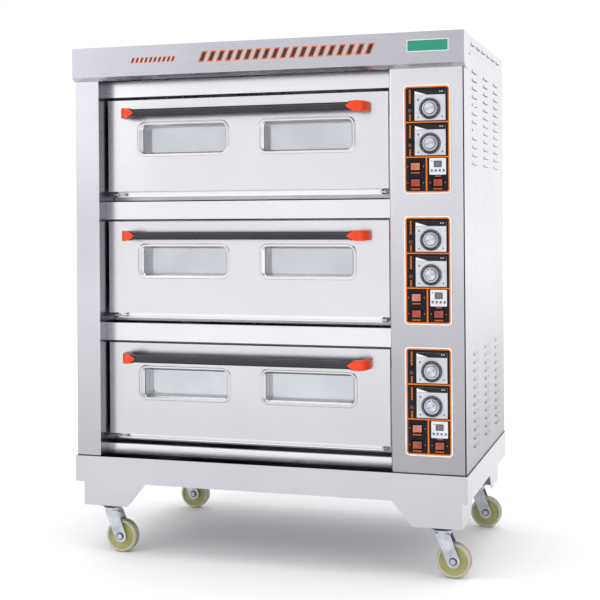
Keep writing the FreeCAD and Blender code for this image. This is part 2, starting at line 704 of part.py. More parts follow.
def front_outline(side, z, stations, depth):
    """Solid through the door's thickness whose front outline is given as (run, half height)."""
    start_x = DOOR_X + side * (HANDLE_STRAIGHT - HANDLE_LEAD)
    front = HANDLE_Y - depth
    above = [(start_x + side * run, front, z + half) for run, half in stations]
    below = [(start_x + side * run, front, z - half) for run, half in stations[::-1]]
    return prism(above + below, V(0, 2 * depth, 0))


def door_handle(index):
    """Straight grip tube and its two curved end brackets, which flare from the tube."""
    z = UPPER_DOOR_BOTTOM - deck_drop(index) + HANDLE_UP
    tube = rod(V(DOOR_X - HANDLE_STRAIGHT, HANDLE_Y, z), X_AXIS, HANDLE_R, 2 * HANDLE_STRAIGHT)
    full = FOOT_HEIGHT / 2
    stations = [(-4, 8), (HANDLE_LEAD, full), (90, full)]
    feet = []
    for side in (-1, 1):
        wall = elbow(side, z, FOOT_HEIGHT, -HANDLE_R, HANDLE_R, DOOR_Y - 0.1, HANDLE_LEAD)
        feet.append(wall.common(front_outline(side, z, stations, 80)))
    return [join(tube, feet)]


def door_handle_caps(index):
    """Coloured caps over the outside of the two brackets, pointed inwards and rounded outwards."""
    z = UPPER_DOOR_BOTTOM - deck_drop(index) + HANDLE_UP
    full = CAP_HEIGHT / 2
    inner = HANDLE_R + 0.2
    end = HANDLE_LEAD + HANDLE_FOOT - HANDLE_STRAIGHT + CAP_THICK + 0.2
    stations = [
        (0, 1.2), (CAP_TIP_RUN * 0.35, full * 0.55), (CAP_TIP_RUN * 0.7, full * 0.9), (CAP_TIP_RUN, full),
        (end - 14, full), (end - 7, full - 1.2), (end - 2.5, full - 3.6), (end + 1, full - 6.5),
    ]
    caps = []
    for side in (-1, 1):
        wall = elbow(side, z, CAP_HEIGHT, inner, inner + CAP_THICK, DOOR_Y - 0.1, HANDLE_LEAD)
        caps.append(wall.common(front_outline(side, z, stations, 80)).Solids[0])
    return caps


def hinge_brackets():
    """Plates on the chamber frame, each with the pin that carries one door corner."""
    brackets = []
    for index in range(len(DECKS)):
        pin_z = UPPER_DOOR_BOTTOM - HINGE_DROP - deck_drop(index)
        for side in (-1, 1):
            edge = DOOR_X + side * LINER_WIDTH / 2
            plate_in = edge + side * 7
            x0, x1 = sorted((plate_in, plate_in + side * 3))
            plate = box(x0, x1, HINGE_Y, CHAMBER_FRONT_Y, pin_z - KNUCKLE_R, pin_z + KNUCKLE_R)
            nose = rod(V(x0, HINGE_Y, pin_z), X_AXIS, KNUCKLE_R, x1 - x0)
            y_foot = CHAMBER_FRONT_Y - 3
            f0, f1 = sorted((plate_in, plate_in + side * 14))
            foot = box(f0, f1, y_foot, CHAMBER_FRONT_Y, pin_z - KNUCKLE_R, pin_z + KNUCKLE_R)
            p0, p1 = sorted((edge - side * 6, plate_in + side * 3))
            pin = rod(V(p0, HINGE_Y, pin_z), X_AXIS, PIN_R, p1 - p0)
            brackets.append(join(plate, [nose, foot, pin]))
    return brackets


# ---------------------------------------------------------------- controls
def control_plates():
    plates = []
    for index in range(len(DECKS)):
        middle = PLATE_X + PLATE_SHIFT
        plate = rounded_block(middle, plate_z(index), PLATE_W, PLATE_H, PLATE_R, PLATE_FRONT_Y, PILLAR_Y)
        plates.append(plate.cut(control_openings(index)))
    return plates


def thermostat_bodies():
    """Controller: face block, scale ring, spindle and the case behind the plate."""
    bodies = []
    face_y = PLATE_FRONT_Y - BODY_PROUD
    half, below, above = THERMOSTAT_CASE
    for index in range(len(DECKS)):
        for _, dx, dz in DIALS:
            x, z = PLATE_X + dx, plate_z(index) + dz
            face = box(x - BODY_W / 2, x + BODY_W / 2, face_y, PLATE_FRONT_Y, z - BODY_DOWN, z + BODY_UP)
            case = box(x - half, x + half, PLATE_FRONT_Y - 1, PILLAR_Y + 55, z - below, z + above)
            ring = rod(V(x, face_y - RING_PROUD, z), Y_AXIS, RING_R, RING_PROUD + 1)
            tip = face_y - RING_PROUD - 0.4 - SPINDLE_LENGTH
            spindle = rod(V(x, tip, z), Y_AXIS, SPINDLE_R, face_y - tip + 1)
            bodies.append(join(face, [case, ring, spindle]))
    return bodies


def thermostat_knob(index, dx, dz):
    """Knob with a finger ridge and a blind spindle bore."""
    x, z = PLATE_X + dx, plate_z(index) + dz
    back = PLATE_FRONT_Y - BODY_PROUD - RING_PROUD - 0.4
    disc = rod(V(x, back - KNOB_SKIRT, z), Y_AXIS, KNOB_R, KNOB_SKIRT)
    crown = Part.makeCone(15.0, 17.5, KNOB_LENGTH - KNOB_SKIRT, V(x, back - KNOB_LENGTH, z), Y_AXIS)
    pointer = box(x - 1.5, x + 1.5, back - KNOB_LENGTH - 0.4, back - 3, z, z + 19)
    bore = rod(V(x, back - SPINDLE_LENGTH - 0.5, z), Y_AXIS, SPINDLE_R + PIN_CLEARANCE, 12)
    return join(disc, [crown, pointer]).cut(bore)


def timer_modules():
    """Digital timer: square bezel with a case behind the plate."""
    timers = []
    for index in range(len(DECKS)):
        x, z = PLATE_X + TIMER[0], plate_z(index) + TIMER[1]
        bezel = rounded_block(x, z, TIMER_SIZE, TIMER_SIZE, 2.0, PLATE_FRONT_Y - TIMER_PROUD, PLATE_FRONT_Y)
        half = TIMER_CASE_HALF
        case = box(x - half, x + half, PLATE_FRONT_Y - 1, PILLAR_Y + 60, z - half, z + half)
        timers.append(join(bezel, [case]))
    return timers


def switch_bezels():
    """Rocker switch housings: frame on the plate and an open case behind it."""
    housings = []
    front = PLATE_FRONT_Y - BEZEL_PROUD
    pivot_y = PLATE_FRONT_Y + 2
    half_w, half_h = SWITCH_CASE
    for index in range(len(DECKS)):
        for _, dx, dz in ROCKERS:
            x, z = PLATE_X + dx, plate_z(index) + dz
            frame = rounded_block(x, z, BEZEL_W, BEZEL_H, 2.0, front, PLATE_FRONT_Y)
            case = box(
                x - half_w, x + half_w, PLATE_FRONT_Y - 1, PILLAR_Y + 24, z - half_h, z + half_h,
            )
            well = box(x - 13.7, x + 13.7, front - 1, PILLAR_Y + 10, z - 10.4, z + 10.4)
            pin = rod(V(x, pivot_y, z - 11), Z_AXIS, ROCKER_PIN_R, 22)
            housings.append(join(frame, [case]).cut(well).fuse(pin))
    return housings


def rocker(index, dx, dz):
    """Rocker cap with two shallow facets, tilted to its off side about a vertical pin."""
    x, z = PLATE_X + dx, plate_z(index) + dz
    pivot_y = PLATE_FRONT_Y + 2
    half, low, high = ROCKER_HALF_W, z - ROCKER_H / 2, z + ROCKER_H / 2
    outline = [
        (x - half, pivot_y - 7.0), (x, pivot_y - 5.4), (x + half, pivot_y - 7.0),
        (x + half - 1.2, pivot_y + 0.5), (x + 4, pivot_y + 4), (x - 4, pivot_y + 4),
        (x - half + 1.2, pivot_y + 0.5),
    ]
    cap = prism([(px, py, low) for px, py in outline], V(0, 0, high - low))
    cap = cap.cut(rod(V(x, pivot_y, low - 1), Z_AXIS, ROCKER_PIN_R + PIN_CLEARANCE, ROCKER_H + 2))
    cap.rotate(V(x, pivot_y, z), Z_AXIS, ROCKER_TILT)
    return cap


def indicator_lamps():
    lamps = []
    for index in range(len(DECKS)):
        for dx, dz in INDICATORS:
            x, z = PLATE_X + dx, plate_z(index) + dz
            lens = rod(V(x, PLATE_FRONT_Y - 1.5, z), Y_AXIS, INDICATOR_R, 1.5)
            dome = Part.makeCone(3.0, INDICATOR_R, 1.5, V(x, PLATE_FRONT_Y - 3, z), Y_AXIS)
            stem = rod(V(x, PLATE_FRONT_Y - 1, z), Y_AXIS, INDICATOR_R - 1.5, 22)
            lamps.append(join(lens, [dome, stem]))
    return lamps


def screw_spots():
    """Where each screw meets its panel, and the direction its head points."""
    low, high = BASE_TOP + SCREW_INSET, COVER_SEAM - SCREW_INSET
    spots = [
        (V(side * SIDE_X, SIDE_SCREW_Y, z), V(side, 0, 0))
        for side in (-1, 1) for z in (low, high)
    ]
    fold_x = SIDE_X - PANEL_FOLD / 2
    for x in (-fold_x, fold_x):
        for z in (low, (low + high) / 2, high):
            spots.append((V(x, REAR_Y, z), Y_AXIS))
    return spots


def screw_holes():
    return Part.makeCompound([
        rod(spot - outward * SCREW_LENGTH, outward, SCREW_HOLE_R, SCREW_LENGTH + 5)
        for spot, outward in screw_spots()
    ])


def panel_screws():
    """Pan-head screws that hold the side panels to the posts and the rear panel to the sides."""
    screws = []
    for spot, outward in screw_spots():
        head = Part.makeCone(SCREW_HEAD_R, 3.0, SCREW_HEAD_H, spot + outward * 0.05, outward)
        shank = rod(spot - outward * (SCREW_LENGTH - 0.5), outward, SCREW_R, SCREW_LENGTH)
        screws.append(join(head, [shank]))
    return screws


# ---------------------------------------------------------------- casters
def caster_plates():
    """Top plate, ball race and kingpin of each caster, fixed under the legs."""
    plates = []
    for _, x, y in CORNERS:
        plate = box(x - RACE_R, x + RACE_R, y - RACE_R, y + RACE_R, LEG_BOTTOM - 3, LEG_BOTTOM)
        race = Part.makeCone(RACE_R - 2, RACE_R, LEG_BOTTOM - 3 - RACE_BOTTOM, V(x, y, RACE_BOTTOM), Z_AXIS)
        pin = rod(V(x, y, FORK_TOP - 10), Z_AXIS, KINGPIN_R, LEG_BOTTOM - 2 - FORK_TOP + 10)
        head = rod(V(x, y, FORK_TOP - 14), Z_AXIS, 10.0, 14 - FORK_SHEET - 4 - GAP)
        plates.append(join(plate, [race, pin, head]))
    return plates


def caster_fork(x, y):
    """Pressed fork with two raked legs, and the axle bolt with its nut."""
    axle = V(x + TRAIL, y, WHEEL_R)
    end_r = ARM_END_R
    outer = FORK_INNER + FORK_SHEET
    crown = box(x + ARM_TOP_BACK, x + ARM_TOP_FRONT, y - outer, y + outer, FORK_TOP - FORK_SHEET, FORK_TOP)
    neck = rod(V(x, y, FORK_TOP - FORK_SHEET), Z_AXIS, RING_R - 4, RING_BOTTOM - FORK_TOP + FORK_SHEET)
    ring = rod(V(x, y, RING_BOTTOM), Z_AXIS, RING_R, RACE_BOTTOM - GAP - RING_BOTTOM)
    legs = []
    for side in (-1, 1):
        y0, y1 = sorted((y + side * FORK_INNER, y + side * (FORK_INNER + FORK_SHEET)))
        low_x = axle.x - end_r * math.cos(math.radians(25))
        low_z = axle.z - end_r * math.sin(math.radians(25))
        high_x = axle.x + end_r * math.cos(math.radians(25))
        high_z = axle.z + end_r * math.sin(math.radians(25))
        arm = prism(
            [(x + ARM_TOP_BACK, y0, FORK_TOP), (low_x, y0, low_z), (high_x, y0, high_z),
             (x + ARM_TOP_FRONT, y0, FORK_TOP)],
            V(0, y1 - y0, 0),
        )
        end = rod(V(axle.x, y0, axle.z), Y_AXIS, end_r, y1 - y0)
        legs += [arm, end]
    fork = join(crown, [neck, ring] + legs)
    fork = fork.cut(rod(V(axle.x, y - 40, axle.z), Y_AXIS, AXLE_R + PIN_CLEARANCE, 80))
    fork = fork.cut(rod(V(x, y, FORK_TOP - 20), Z_AXIS, KINGPIN_R + PIN_CLEARANCE, 40))
    shank = rod(V(axle.x, y - outer - 1, axle.z), Y_AXIS, AXLE_R, 2 * outer + 6)
    head = Part.Face(hexagon(axle.x, y - outer - 5, axle.z, 8.5)).extrude(V(0, 5, 0))
    nut = Part.Face(hexagon(axle.x, y + outer, axle.z, 8.5)).extrude(V(0, 4.5, 0))
    return [fork, join(shank, [head, nut])]


def caster_wheel(x, y):
    """Nylon wheel: crowned rim, recessed web and a hub with its axle bore."""
    half, hub = WHEEL_W / 2, HUB_W / 2
    profile = [
        (AXLE_R + PIN_CLEARANCE, -hub), (HUB_R, -hub), (HUB_R + 1, -half + 4), (WHEEL_R - 10, -half + 4),
        (WHEEL_R - 8, -half), (WHEEL_R - 3, -half), (WHEEL_R, -half + 4), (WHEEL_R, half - 4),
        (WHEEL_R - 3, half), (WHEEL_R - 8, half), (WHEEL_R - 10, half - 4), (HUB_R + 1, half - 4),
        (HUB_R, hub), (AXLE_R + PIN_CLEARANCE, hub),
    ]
    points = [V(x + TRAIL + r, y + w, WHEEL_R) for r, w in profile]
    face = Part.Face(Part.makePolygon(points + [points[0]]))
    return [face.revolve(V(x + TRAIL, y, WHEEL_R), Y_AXIS, 360)]


# ---------------------------------------------------------------- write
def main():
    os.makedirs("parts", exist_ok=True)
    fixed = (
        base_frame, leg_brackets, caster_plates, top_cover, header_canopy, side_panels,
        rear_panel, front_pillar, control_column, deck_trims, oven_chambers, heating_elements,
        sole_plates, insulation, control_plates, thermostat_bodies, timer_modules,
        switch_bezels, indicator_lamps, hinge_brackets, cable_gland, panel_screws,
    )
    for maker in fixed:
        save(maker.__name__, maker())
    for index, deck in enumerate(DECKS):
        save(deck + "_door_skin", [door_skin(index)])
        save(deck + "_door_liner", [door_liner(index)])
        save(deck + "_door_glass", door_glass(index))
        save(deck + "_door_handle", door_handle(index))
        save(deck + "_door_handle_caps", door_handle_caps(index))
        for name, dx, dz in DIALS:
            save(deck + "_" + name + "_knob", [thermostat_knob(index, dx, dz)])
        for name, dx, dz in ROCKERS:
            save(deck + "_" + name + "_rocker", [rocker(index, dx, dz)])
    for name, x, y in CORNERS:
        save("caster_fork_" + name, caster_fork(x, y))
        save("caster_wheel_" + name, caster_wheel(x, y))


main()
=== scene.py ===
import math

import bmesh
import bpy
from mathutils import Matrix, Vector

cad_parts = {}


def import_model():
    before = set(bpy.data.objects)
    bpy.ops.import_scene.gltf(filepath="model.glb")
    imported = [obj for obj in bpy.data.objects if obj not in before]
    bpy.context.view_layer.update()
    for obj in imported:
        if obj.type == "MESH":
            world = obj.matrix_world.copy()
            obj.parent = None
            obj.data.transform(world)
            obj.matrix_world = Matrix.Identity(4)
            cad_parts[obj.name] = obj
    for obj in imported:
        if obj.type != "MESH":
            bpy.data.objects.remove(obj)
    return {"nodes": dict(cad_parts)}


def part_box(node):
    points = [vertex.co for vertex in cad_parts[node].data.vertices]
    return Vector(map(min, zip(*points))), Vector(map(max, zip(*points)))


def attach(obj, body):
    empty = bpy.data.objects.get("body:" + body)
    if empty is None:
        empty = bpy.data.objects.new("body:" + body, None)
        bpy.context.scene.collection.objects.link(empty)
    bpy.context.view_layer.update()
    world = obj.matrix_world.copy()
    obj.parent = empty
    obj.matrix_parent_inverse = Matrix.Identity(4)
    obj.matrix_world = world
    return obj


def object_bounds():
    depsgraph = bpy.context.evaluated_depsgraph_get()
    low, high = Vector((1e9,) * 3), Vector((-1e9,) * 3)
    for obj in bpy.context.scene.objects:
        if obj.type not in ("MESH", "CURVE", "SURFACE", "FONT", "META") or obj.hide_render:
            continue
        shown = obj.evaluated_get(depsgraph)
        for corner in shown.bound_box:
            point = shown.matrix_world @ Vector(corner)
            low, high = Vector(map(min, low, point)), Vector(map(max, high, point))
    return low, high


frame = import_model()
CAD_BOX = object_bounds()
NODES = frame["nodes"]
DECKS = ("upper", "middle", "lower")
CORNERS = ("front_left", "front_right", "rear_left", "rear_right")
# Lengths are in metres: x runs to the oven's right, y to its back and z up.
EVEN = (1, 1, 1)
# Socket numbers of a Mix node that mixes colours.
MIX_FACTOR, MIX_FIRST, MIX_SECOND, MIX_RESULT = 0, 6, 7, 2


# ---------------------------------------------------------------- materials
class Nodes:
    """Short calls for adding nodes to a tree; a value may be a number, a colour or another socket."""

    def __init__(self, tree):
        self.tree = tree

    def node(self, kind, **settings):
        made = self.tree.nodes.new(kind)
        for key, value in settings.items():
            setattr(made, key, value)
        return made

    def feed(self, socket, value):
        if isinstance(value, bpy.types.NodeSocket):
            self.tree.links.new(value, socket)
        else:
            socket.default_value = value

    def math(self, operation, *values):
        made = self.node("ShaderNodeMath", operation=operation)
        for socket, value in zip(made.inputs, values):
            self.feed(socket, value)
        return made.outputs[0]

    def band(self, value, low, high, to_low, to_high, ease="LINEAR"):
        made = self.node("ShaderNodeMapRange", clamp=True, interpolation_type=ease)
        for socket, item in zip(made.inputs, (value, low, high, to_low, to_high)):
            self.feed(socket, item)
        return made.outputs[0]

    def blend(self, factor, first, second, kind="MIX"):
        made = self.node("ShaderNodeMix", data_type="RGBA", blend_type=kind)
        self.feed(made.inputs[MIX_FACTOR], factor)
        self.feed(made.inputs[MIX_FIRST], first)
        self.feed(made.inputs[MIX_SECOND], second)
        return made.outputs[MIX_RESULT]

    def split(self, vector):
        made = self.node("ShaderNodeSeparateXYZ")
        self.feed(made.inputs[0], vector)
        return made.outputs


class Mat(Nodes):
    """A node material, and what the finishes below share."""

    def __init__(self, name):
        self.material = bpy.data.materials.new(name)
        self.material.use_nodes = True
        super().__init__(self.material.node_tree)
        self.shader = self.tree.nodes["Principled BSDF"]
        self.place = self.node("ShaderNodeTexCoord").outputs["Object"]

    def xyz(self):
        return self.split(self.place)

    def stretch(self, scale):
        mapping = self.node("ShaderNodeMapping")
        self.feed(mapping.inputs["Vector"], self.place)
        mapping.inputs["Scale"].default_value = scale
        return mapping.outputs["Vector"]

    def noise(self, scale, size, detail, rough):
        made = self.node("ShaderNodeTexNoise")
        self.feed(made.inputs["Vector"], self.stretch(scale))
        made.inputs["Scale"].default_value = size
        made.inputs["Detail"].default_value = detail
        made.inputs["Roughness"].default_value = rough
        return made.outputs["Fac"]

    def bump(self, height, strength, distance):
        made = self.node("ShaderNodeBump")
        made.inputs["Strength"].default_value = strength
        made.inputs["Distance"].default_value = distance
        self.feed(made.inputs["Height"], height)
        self.feed(self.shader.inputs["Normal"], made.outputs[0])

    def set(self, **values):
        for key, value in values.items():
            self.feed(self.shader.inputs[key.replace("_", " ")], value)


def rgb(red, green, blue):
    return (red, green, blue, 1.0)


def middle_of(box):
    """Middle of a box that is given by its low and high corners."""
    low, high = box
    return (low + high) / 2


ACROSS_GRAIN, ALONG_GRAIN = 900.0, 9.0
GRAIN_SCALE = {
    "x": (ALONG_GRAIN, ACROSS_GRAIN, ACROSS_GRAIN),
    "z": (ACROSS_GRAIN, ACROSS_GRAIN, ALONG_GRAIN),
}


def steel(name, colour, grain, rough, depth, dirt, metal=1.0, foot=None):
    """Brushed sheet: long grain along one axis, cloudy sheen and faint handling marks.

    foot is (low z, high z, tone): painted shade, the sheet grows darker from high z down to that tone at low
    z.
    """
    m = Mat(name)
    fine = m.noise(GRAIN_SCALE[grain], 1.0, 2.0, 0.6)
    cloud = m.noise(EVEN, 3.2, 3.0, 0.5)
    marks = m.noise(EVEN, 38.0, 5.0, 0.7)
    tone = m.band(cloud, 0.25, 0.75, 1.0 - dirt, 1.0)
    tone = m.math("MULTIPLY", tone, m.band(fine, 0.2, 0.8, 0.95, 1.03))
    # foot paints shade into the colour: darker towards the bottom.
    if foot:
        low_z, high_z, painted_shade_tone = foot
        tone = m.math("MULTIPLY", tone, m.band(m.xyz()[2], low_z, high_z, painted_shade_tone, 1.0, "SMOOTHSTEP"))
    shade = m.blend(1.0, colour, tone, "MULTIPLY")
    sheen = m.band(m.math("ADD", fine, m.math("MULTIPLY", marks, 0.5)), 0.4, 1.1, *rough)
    m.bump(fine, depth, 0.0004)
    m.set(Base_Color=shade, Roughness=sheen, Metallic=metal)
    return m


def plastic(name, colour, rough=(0.35, 0.5), grain=700.0, depth=0.12, worn=None, coat=0.0, shine=0.5):
    """Moulded plastic: fine spark texture, slight mottling and a paler handled tint."""
    m = Mat(name)
    fine = m.noise(EVEN, grain, 2.0, 0.6)
    cloud = m.noise(EVEN, 24.0, 4.0, 0.6)
    pale = worn or tuple(min(1.0, c * 1.35 + 0.01) for c in colour[:3]) + (1.0,)
    tint = m.blend(m.band(cloud, 0.35, 0.8, 0.0, 0.7), colour, pale)
    m.bump(fine, depth, 0.0003)
    m.set(Base_Color=tint, Roughness=m.band(fine, 0.3, 0.7, *rough), Coat_Weight=coat, Coat_Roughness=0.1)
    m.set(Specular_IOR_Level=shine)
    return m


def zinc():
    """Bright zinc plate with a faint spangle and duller patches."""
    m = Mat("zinc")
    cells = m.node("ShaderNodeTexVoronoi", feature="SMOOTH_F1")
    m.feed(cells.inputs["Vector"], m.stretch(EVEN))
    cells.inputs["Scale"].default_value = 130.0
    cloud = m.noise(EVEN, 30.0, 4.0, 0.6)
    tint = m.blend(m.band(cloud, 0.35, 0.7, 0.0, 1.0), rgb(0.60, 0.62, 0.66), rgb(0.34, 0.36, 0.40))
    tint = m.blend(m.band(cells.outputs["Distance"], 0.0, 0.8, 0.0, 0.22), tint, rgb(0.78, 0.80, 0.84))
    m.bump(cloud, 0.1, 0.0006)
    m.set(Base_Color=tint, Metallic=1.0, Roughness=m.band(cloud, 0.3, 0.75, 0.22, 0.45))
    return m


def nylon(corner):
    """Cast nylon wheel: creamy rim, yellower recessed disc round the hub and painted shade darkening the
    edge of the tread.
    """
    axle = middle_of(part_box("caster_wheel_" + corner))
    disc_edge, shaded_tread_edge = (0.0385, 0.0425), (0.0475, 0.0500)
    m = Mat("nylon_" + corner)
    cloud = m.noise(EVEN, 26.0, 5.0, 0.6)
    px, _, pz = m.xyz()
    dx = m.math("SUBTRACT", px, axle.x)
    dz = m.math("SUBTRACT", pz, axle.z)
    radius = m.math("SQRT", m.math("ADD", m.math("MULTIPLY", dx, dx), m.math("MULTIPLY", dz, dz)))
    rim = m.blend(m.band(cloud, 0.3, 0.75, 0.0, 1.0), rgb(0.56, 0.54, 0.41), rgb(0.40, 0.39, 0.28))
    disc_tint = m.blend(m.band(cloud, 0.3, 0.75, 0.0, 1.0), rgb(0.44, 0.42, 0.15), rgb(0.30, 0.30, 0.10))
    tint = m.blend(m.band(radius, *disc_edge, 0.0, 1.0), disc_tint, rim)
    # Painted shade: the rim darkens towards the tread's edge.
    tint = m.blend(m.band(radius, *shaded_tread_edge, 0.0, 0.55), tint, rgb(0.15, 0.14, 0.09))
    m.bump(m.noise(EVEN, 420.0, 3.0, 0.6), 0.15, 0.0004)
    m.set(Base_Color=tint, Roughness=m.band(cloud, 0.3, 0.7, 0.32, 0.5), Subsurface_Weight=0.12)
    m.shader.inputs["Subsurface Radius"].default_value = (0.006, 0.005, 0.003)
    return m


def wool():
    """Mineral wool: pale yellow fibres lying in layers."""
    m = Mat("mineral_wool")
    fibres = m.noise((6, 6, 60), 22.0, 8.0, 0.75)
    tint = m.blend(m.band(fibres, 0.3, 0.7, 0.0, 1.0), rgb(0.62, 0.55, 0.38), rgb(0.86, 0.8, 0.62))
    m.bump(fibres, 0.8, 0.004)
    m.set(Base_Color=tint, Roughness=m.band(fibres, 0.2, 0.8, 0.85, 1.0))
    return m


def oxide(name, cold, hot, size, metal):
    """Heat-darkened steel: straw and blue-brown tempering clouds over a scaled surface."""
    m = Mat(name)
    cloud = m.noise(EVEN, size, 6.0, 0.65)
    scale = m.noise(EVEN, size * 14, 4.0, 0.7)
    tint = m.blend(m.band(cloud, 0.3, 0.7, 0.0, 1.0), cold, hot)
    tint = m.blend(m.band(scale, 0.5, 0.8, 0.0, 0.35), tint, rgb(0.02, 0.018, 0.016))
    m.bump(scale, 0.25, 0.0006)
    m.set(Base_Color=tint, Metallic=metal, Roughness=m.band(scale, 0.3, 0.7, 0.42, 0.7))
    return m


def glass(name, coated_from):
    """Clear outer panes with wipe streaks, and inner panes with a pale coating.

    A pane is an inner one where its y is greater than coated_from.
    """
    m = Mat(name)
    streak = m.noise((3, 3, 60), 1.6, 4.0, 0.6)
    haze = m.noise(EVEN, 9.0, 5.0, 0.6)
    m.bump(streak, 0.02, 0.0005)
    clear = m.blend(m.band(haze, 0.35, 0.8, 0.0, 1.0), rgb(0.95, 0.965, 0.97), rgb(0.90, 0.915, 0.92))
    mirror = m.blend(m.band(haze, 0.3, 0.75, 0.0, 1.0), rgb(0.68, 0.69, 0.715), rgb(0.62, 0.63, 0.655))
    coated = m.math("GREATER_THAN", m.xyz()[1], coated_from)
    soft = m.band(m.math("MULTIPLY", streak, haze), 0.1, 0.5, 0.01, 0.06)
    m.set(
        Base_Color=m.blend(coated, clear, mirror),
        IOR=1.45,
        Metallic=m.math("MULTIPLY", coated, 0.92),
        Transmission_Weight=m.math("SUBTRACT", 1.0, coated),
        Roughness=m.math("ADD", soft, m.math("MULTIPLY", coated, 0.10)),
    )
    return m


def tinted(name, colour, deep):
    """Translucent coloured plastic over a dark body, such as a lamp lens or lit rocker."""
    m = Mat(name)
    cloud = m.noise(EVEN, 60.0, 4.0, 0.6)
    ribs = m.node("ShaderNodeTexWave", bands_direction="Z")
    m.feed(ribs.inputs["Vector"], m.stretch(EVEN))
    ribs.inputs["Scale"].default_value = 160.0
    tint = m.blend(m.band(cloud, 0.3, 0.7, 0.0, 1.0), colour, deep)
    tint = m.blend(m.band(ribs.outputs["Fac"], 0.6, 1.0, 0.0, 0.25), tint, deep)
    m.bump(cloud, 0.08, 0.0005)
    m.set(Base_Color=tint, Roughness=m.band(cloud, 0.3, 0.7, 0.12, 0.28), Coat_Weight=0.5)
    return m


def inside_box(m, x, z, half_w, half_h):
    """1 within a box on the XZ plane, 0 outside."""
    px, _, pz = m.xyz()
    dx = m.math("SUBTRACT", px, x)
    dz = m.math("SUBTRACT", pz, z)
    across = m.math("LESS_THAN", m.math("ABSOLUTE", dx), half_w)
    up = m.math("LESS_THAN", m.math("ABSOLUTE", dz), half_h)
    return m.math("MULTIPLY", across, up)


BAR_SLANT = 0.42
BAR_ORANGE, BAR_DARK = rgb(0.66, 0.12, 0.008), rgb(0.03, 0.012, 0.012)
# Two rows of bars: first x, last x, middle z, pitch, and for each print the half height,
# the share of the pitch that a bar fills, and the ink.
BAR_ROWS = (
    (-0.190, 0.3515, 1.517, 0.0285, ((0.0165, 0.62, BAR_ORANGE), (0.0128, 0.40, BAR_DARK))),
    (-0.412, -0.2650, 1.5145, 0.0147, ((0.0085, 0.62, BAR_ORANGE), (0.0060, 0.36, BAR_DARK))),
)
LABEL_X, LABEL_Z = 0.5055, 1.5193
# The blank label and its pale edge: half width, half height, ink.
LABEL_LAYERS = (
    (0.0600, 0.0172, rgb(0.8, 0.83, 0.82)),
    (0.0580, 0.0152, rgb(0.012, 0.26, 0.16)),
)
INK_ROUGHNESS = rgb(0.42, 0.42, 0.42)


def slanted_bars(m, x0, x1, z, half_h, pitch, share):
    """A plain row of identical slanted bars between x0 and x1."""
    px, _, pz = m.xyz()
    lean = m.math("SUBTRACT", px, m.math("MULTIPLY", m.math("SUBTRACT", pz, z), BAR_SLANT))
    cell = m.math("FRACT", m.math("DIVIDE", m.math("SUBTRACT", lean, x0), pitch))
    bar = m.math("LESS_THAN", m.math("ABSOLUTE", m.math("SUBTRACT", cell, 0.5)), share / 2)
    inside = m.math("MULTIPLY", m.math("GREATER_THAN", lean, x0), m.math("LESS_THAN", lean, x1))
    tall = m.math("LESS_THAN", m.math("ABSOLUTE", m.math("SUBTRACT", pz, z)), half_h)
    return m.math("MULTIPLY", m.math("MULTIPLY", bar, inside), tall)


def header_finish():
    """Brushed header with two plain printed rows of slanted bars and a blank green label.

    Its two end faces are painted paler, as painted light near the tone of the side panels.
    """
    face_depth, end_depth = 0.0008, 0.0004
    m = steel("header_steel", rgb(0.55, 0.54, 0.58), "x", (0.2, 0.32), 0.05, 0.1)
    base = m.shader.inputs["Base Color"].links[0].from_socket
    sheen = m.shader.inputs["Roughness"].links[0].from_socket
    front = m.math("LESS_THAN", m.xyz()[1], CAD_BOX[0][1] + face_depth)
    ends = m.math("GREATER_THAN", m.math("ABSOLUTE", m.xyz()[0]), CAD_BOX[1][0] - end_depth)
    # Painted light: the end faces of the same sheet are painted paler than the front.
    base = m.blend(ends, base, rgb(0.78, 0.78, 0.81))
    prints = []
    for x0, x1, z, pitch, layers in BAR_ROWS:
        for half_h, share, colour in layers:
            prints.append((slanted_bars(m, x0, x1, z, half_h, pitch, share), colour))
    for half_w, half_h, colour in LABEL_LAYERS:
        prints.append((inside_box(m, LABEL_X, LABEL_Z, half_w, half_h), colour))
    ink = 0.0
    for shape, colour in prints:
        mask = m.math("MULTIPLY", shape, front)
        base = m.blend(mask, base, colour)
        ink = m.math("MAXIMUM", ink, mask)
    m.feed(m.shader.inputs["Base Color"], base)
    m.feed(m.shader.inputs["Roughness"], m.blend(ink, sheen, INK_ROUGHNESS))
    m.feed(m.shader.inputs["Metallic"], m.math("SUBTRACT", 1.0, ink))
    return m.material


def pillar_finish():
    """Brushed pillar whose folded return, behind the face, is painted dark as painted shade."""
    face_depth = 0.003
    # foot paints shade: the pillar darkens towards the bottom.
    m = steel("post_steel", rgb(0.66, 0.65, 0.69), "z", (0.18, 0.3), 0.05, 0.10, foot=(0.20, 0.85, 0.66))
    base = m.shader.inputs["Base Color"].links[0].from_socket
    behind = m.math("GREATER_THAN", m.xyz()[1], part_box("front_pillar")[0].y + face_depth)
    # Painted shade: the folded return behind the face gets a dark colour.
    m.feed(m.shader.inputs["Base Color"], m.blend(behind, base, rgb(0.30, 0.29, 0.33)))
    return m.material


def paint(names, material):
    """Give one material to whole CAD nodes."""
    for name in names:
        mesh = NODES[name].data
        mesh.materials.clear()
        mesh.materials.append(material)


def deck_nodes(tail):
    return [deck + "_" + tail for deck in DECKS]
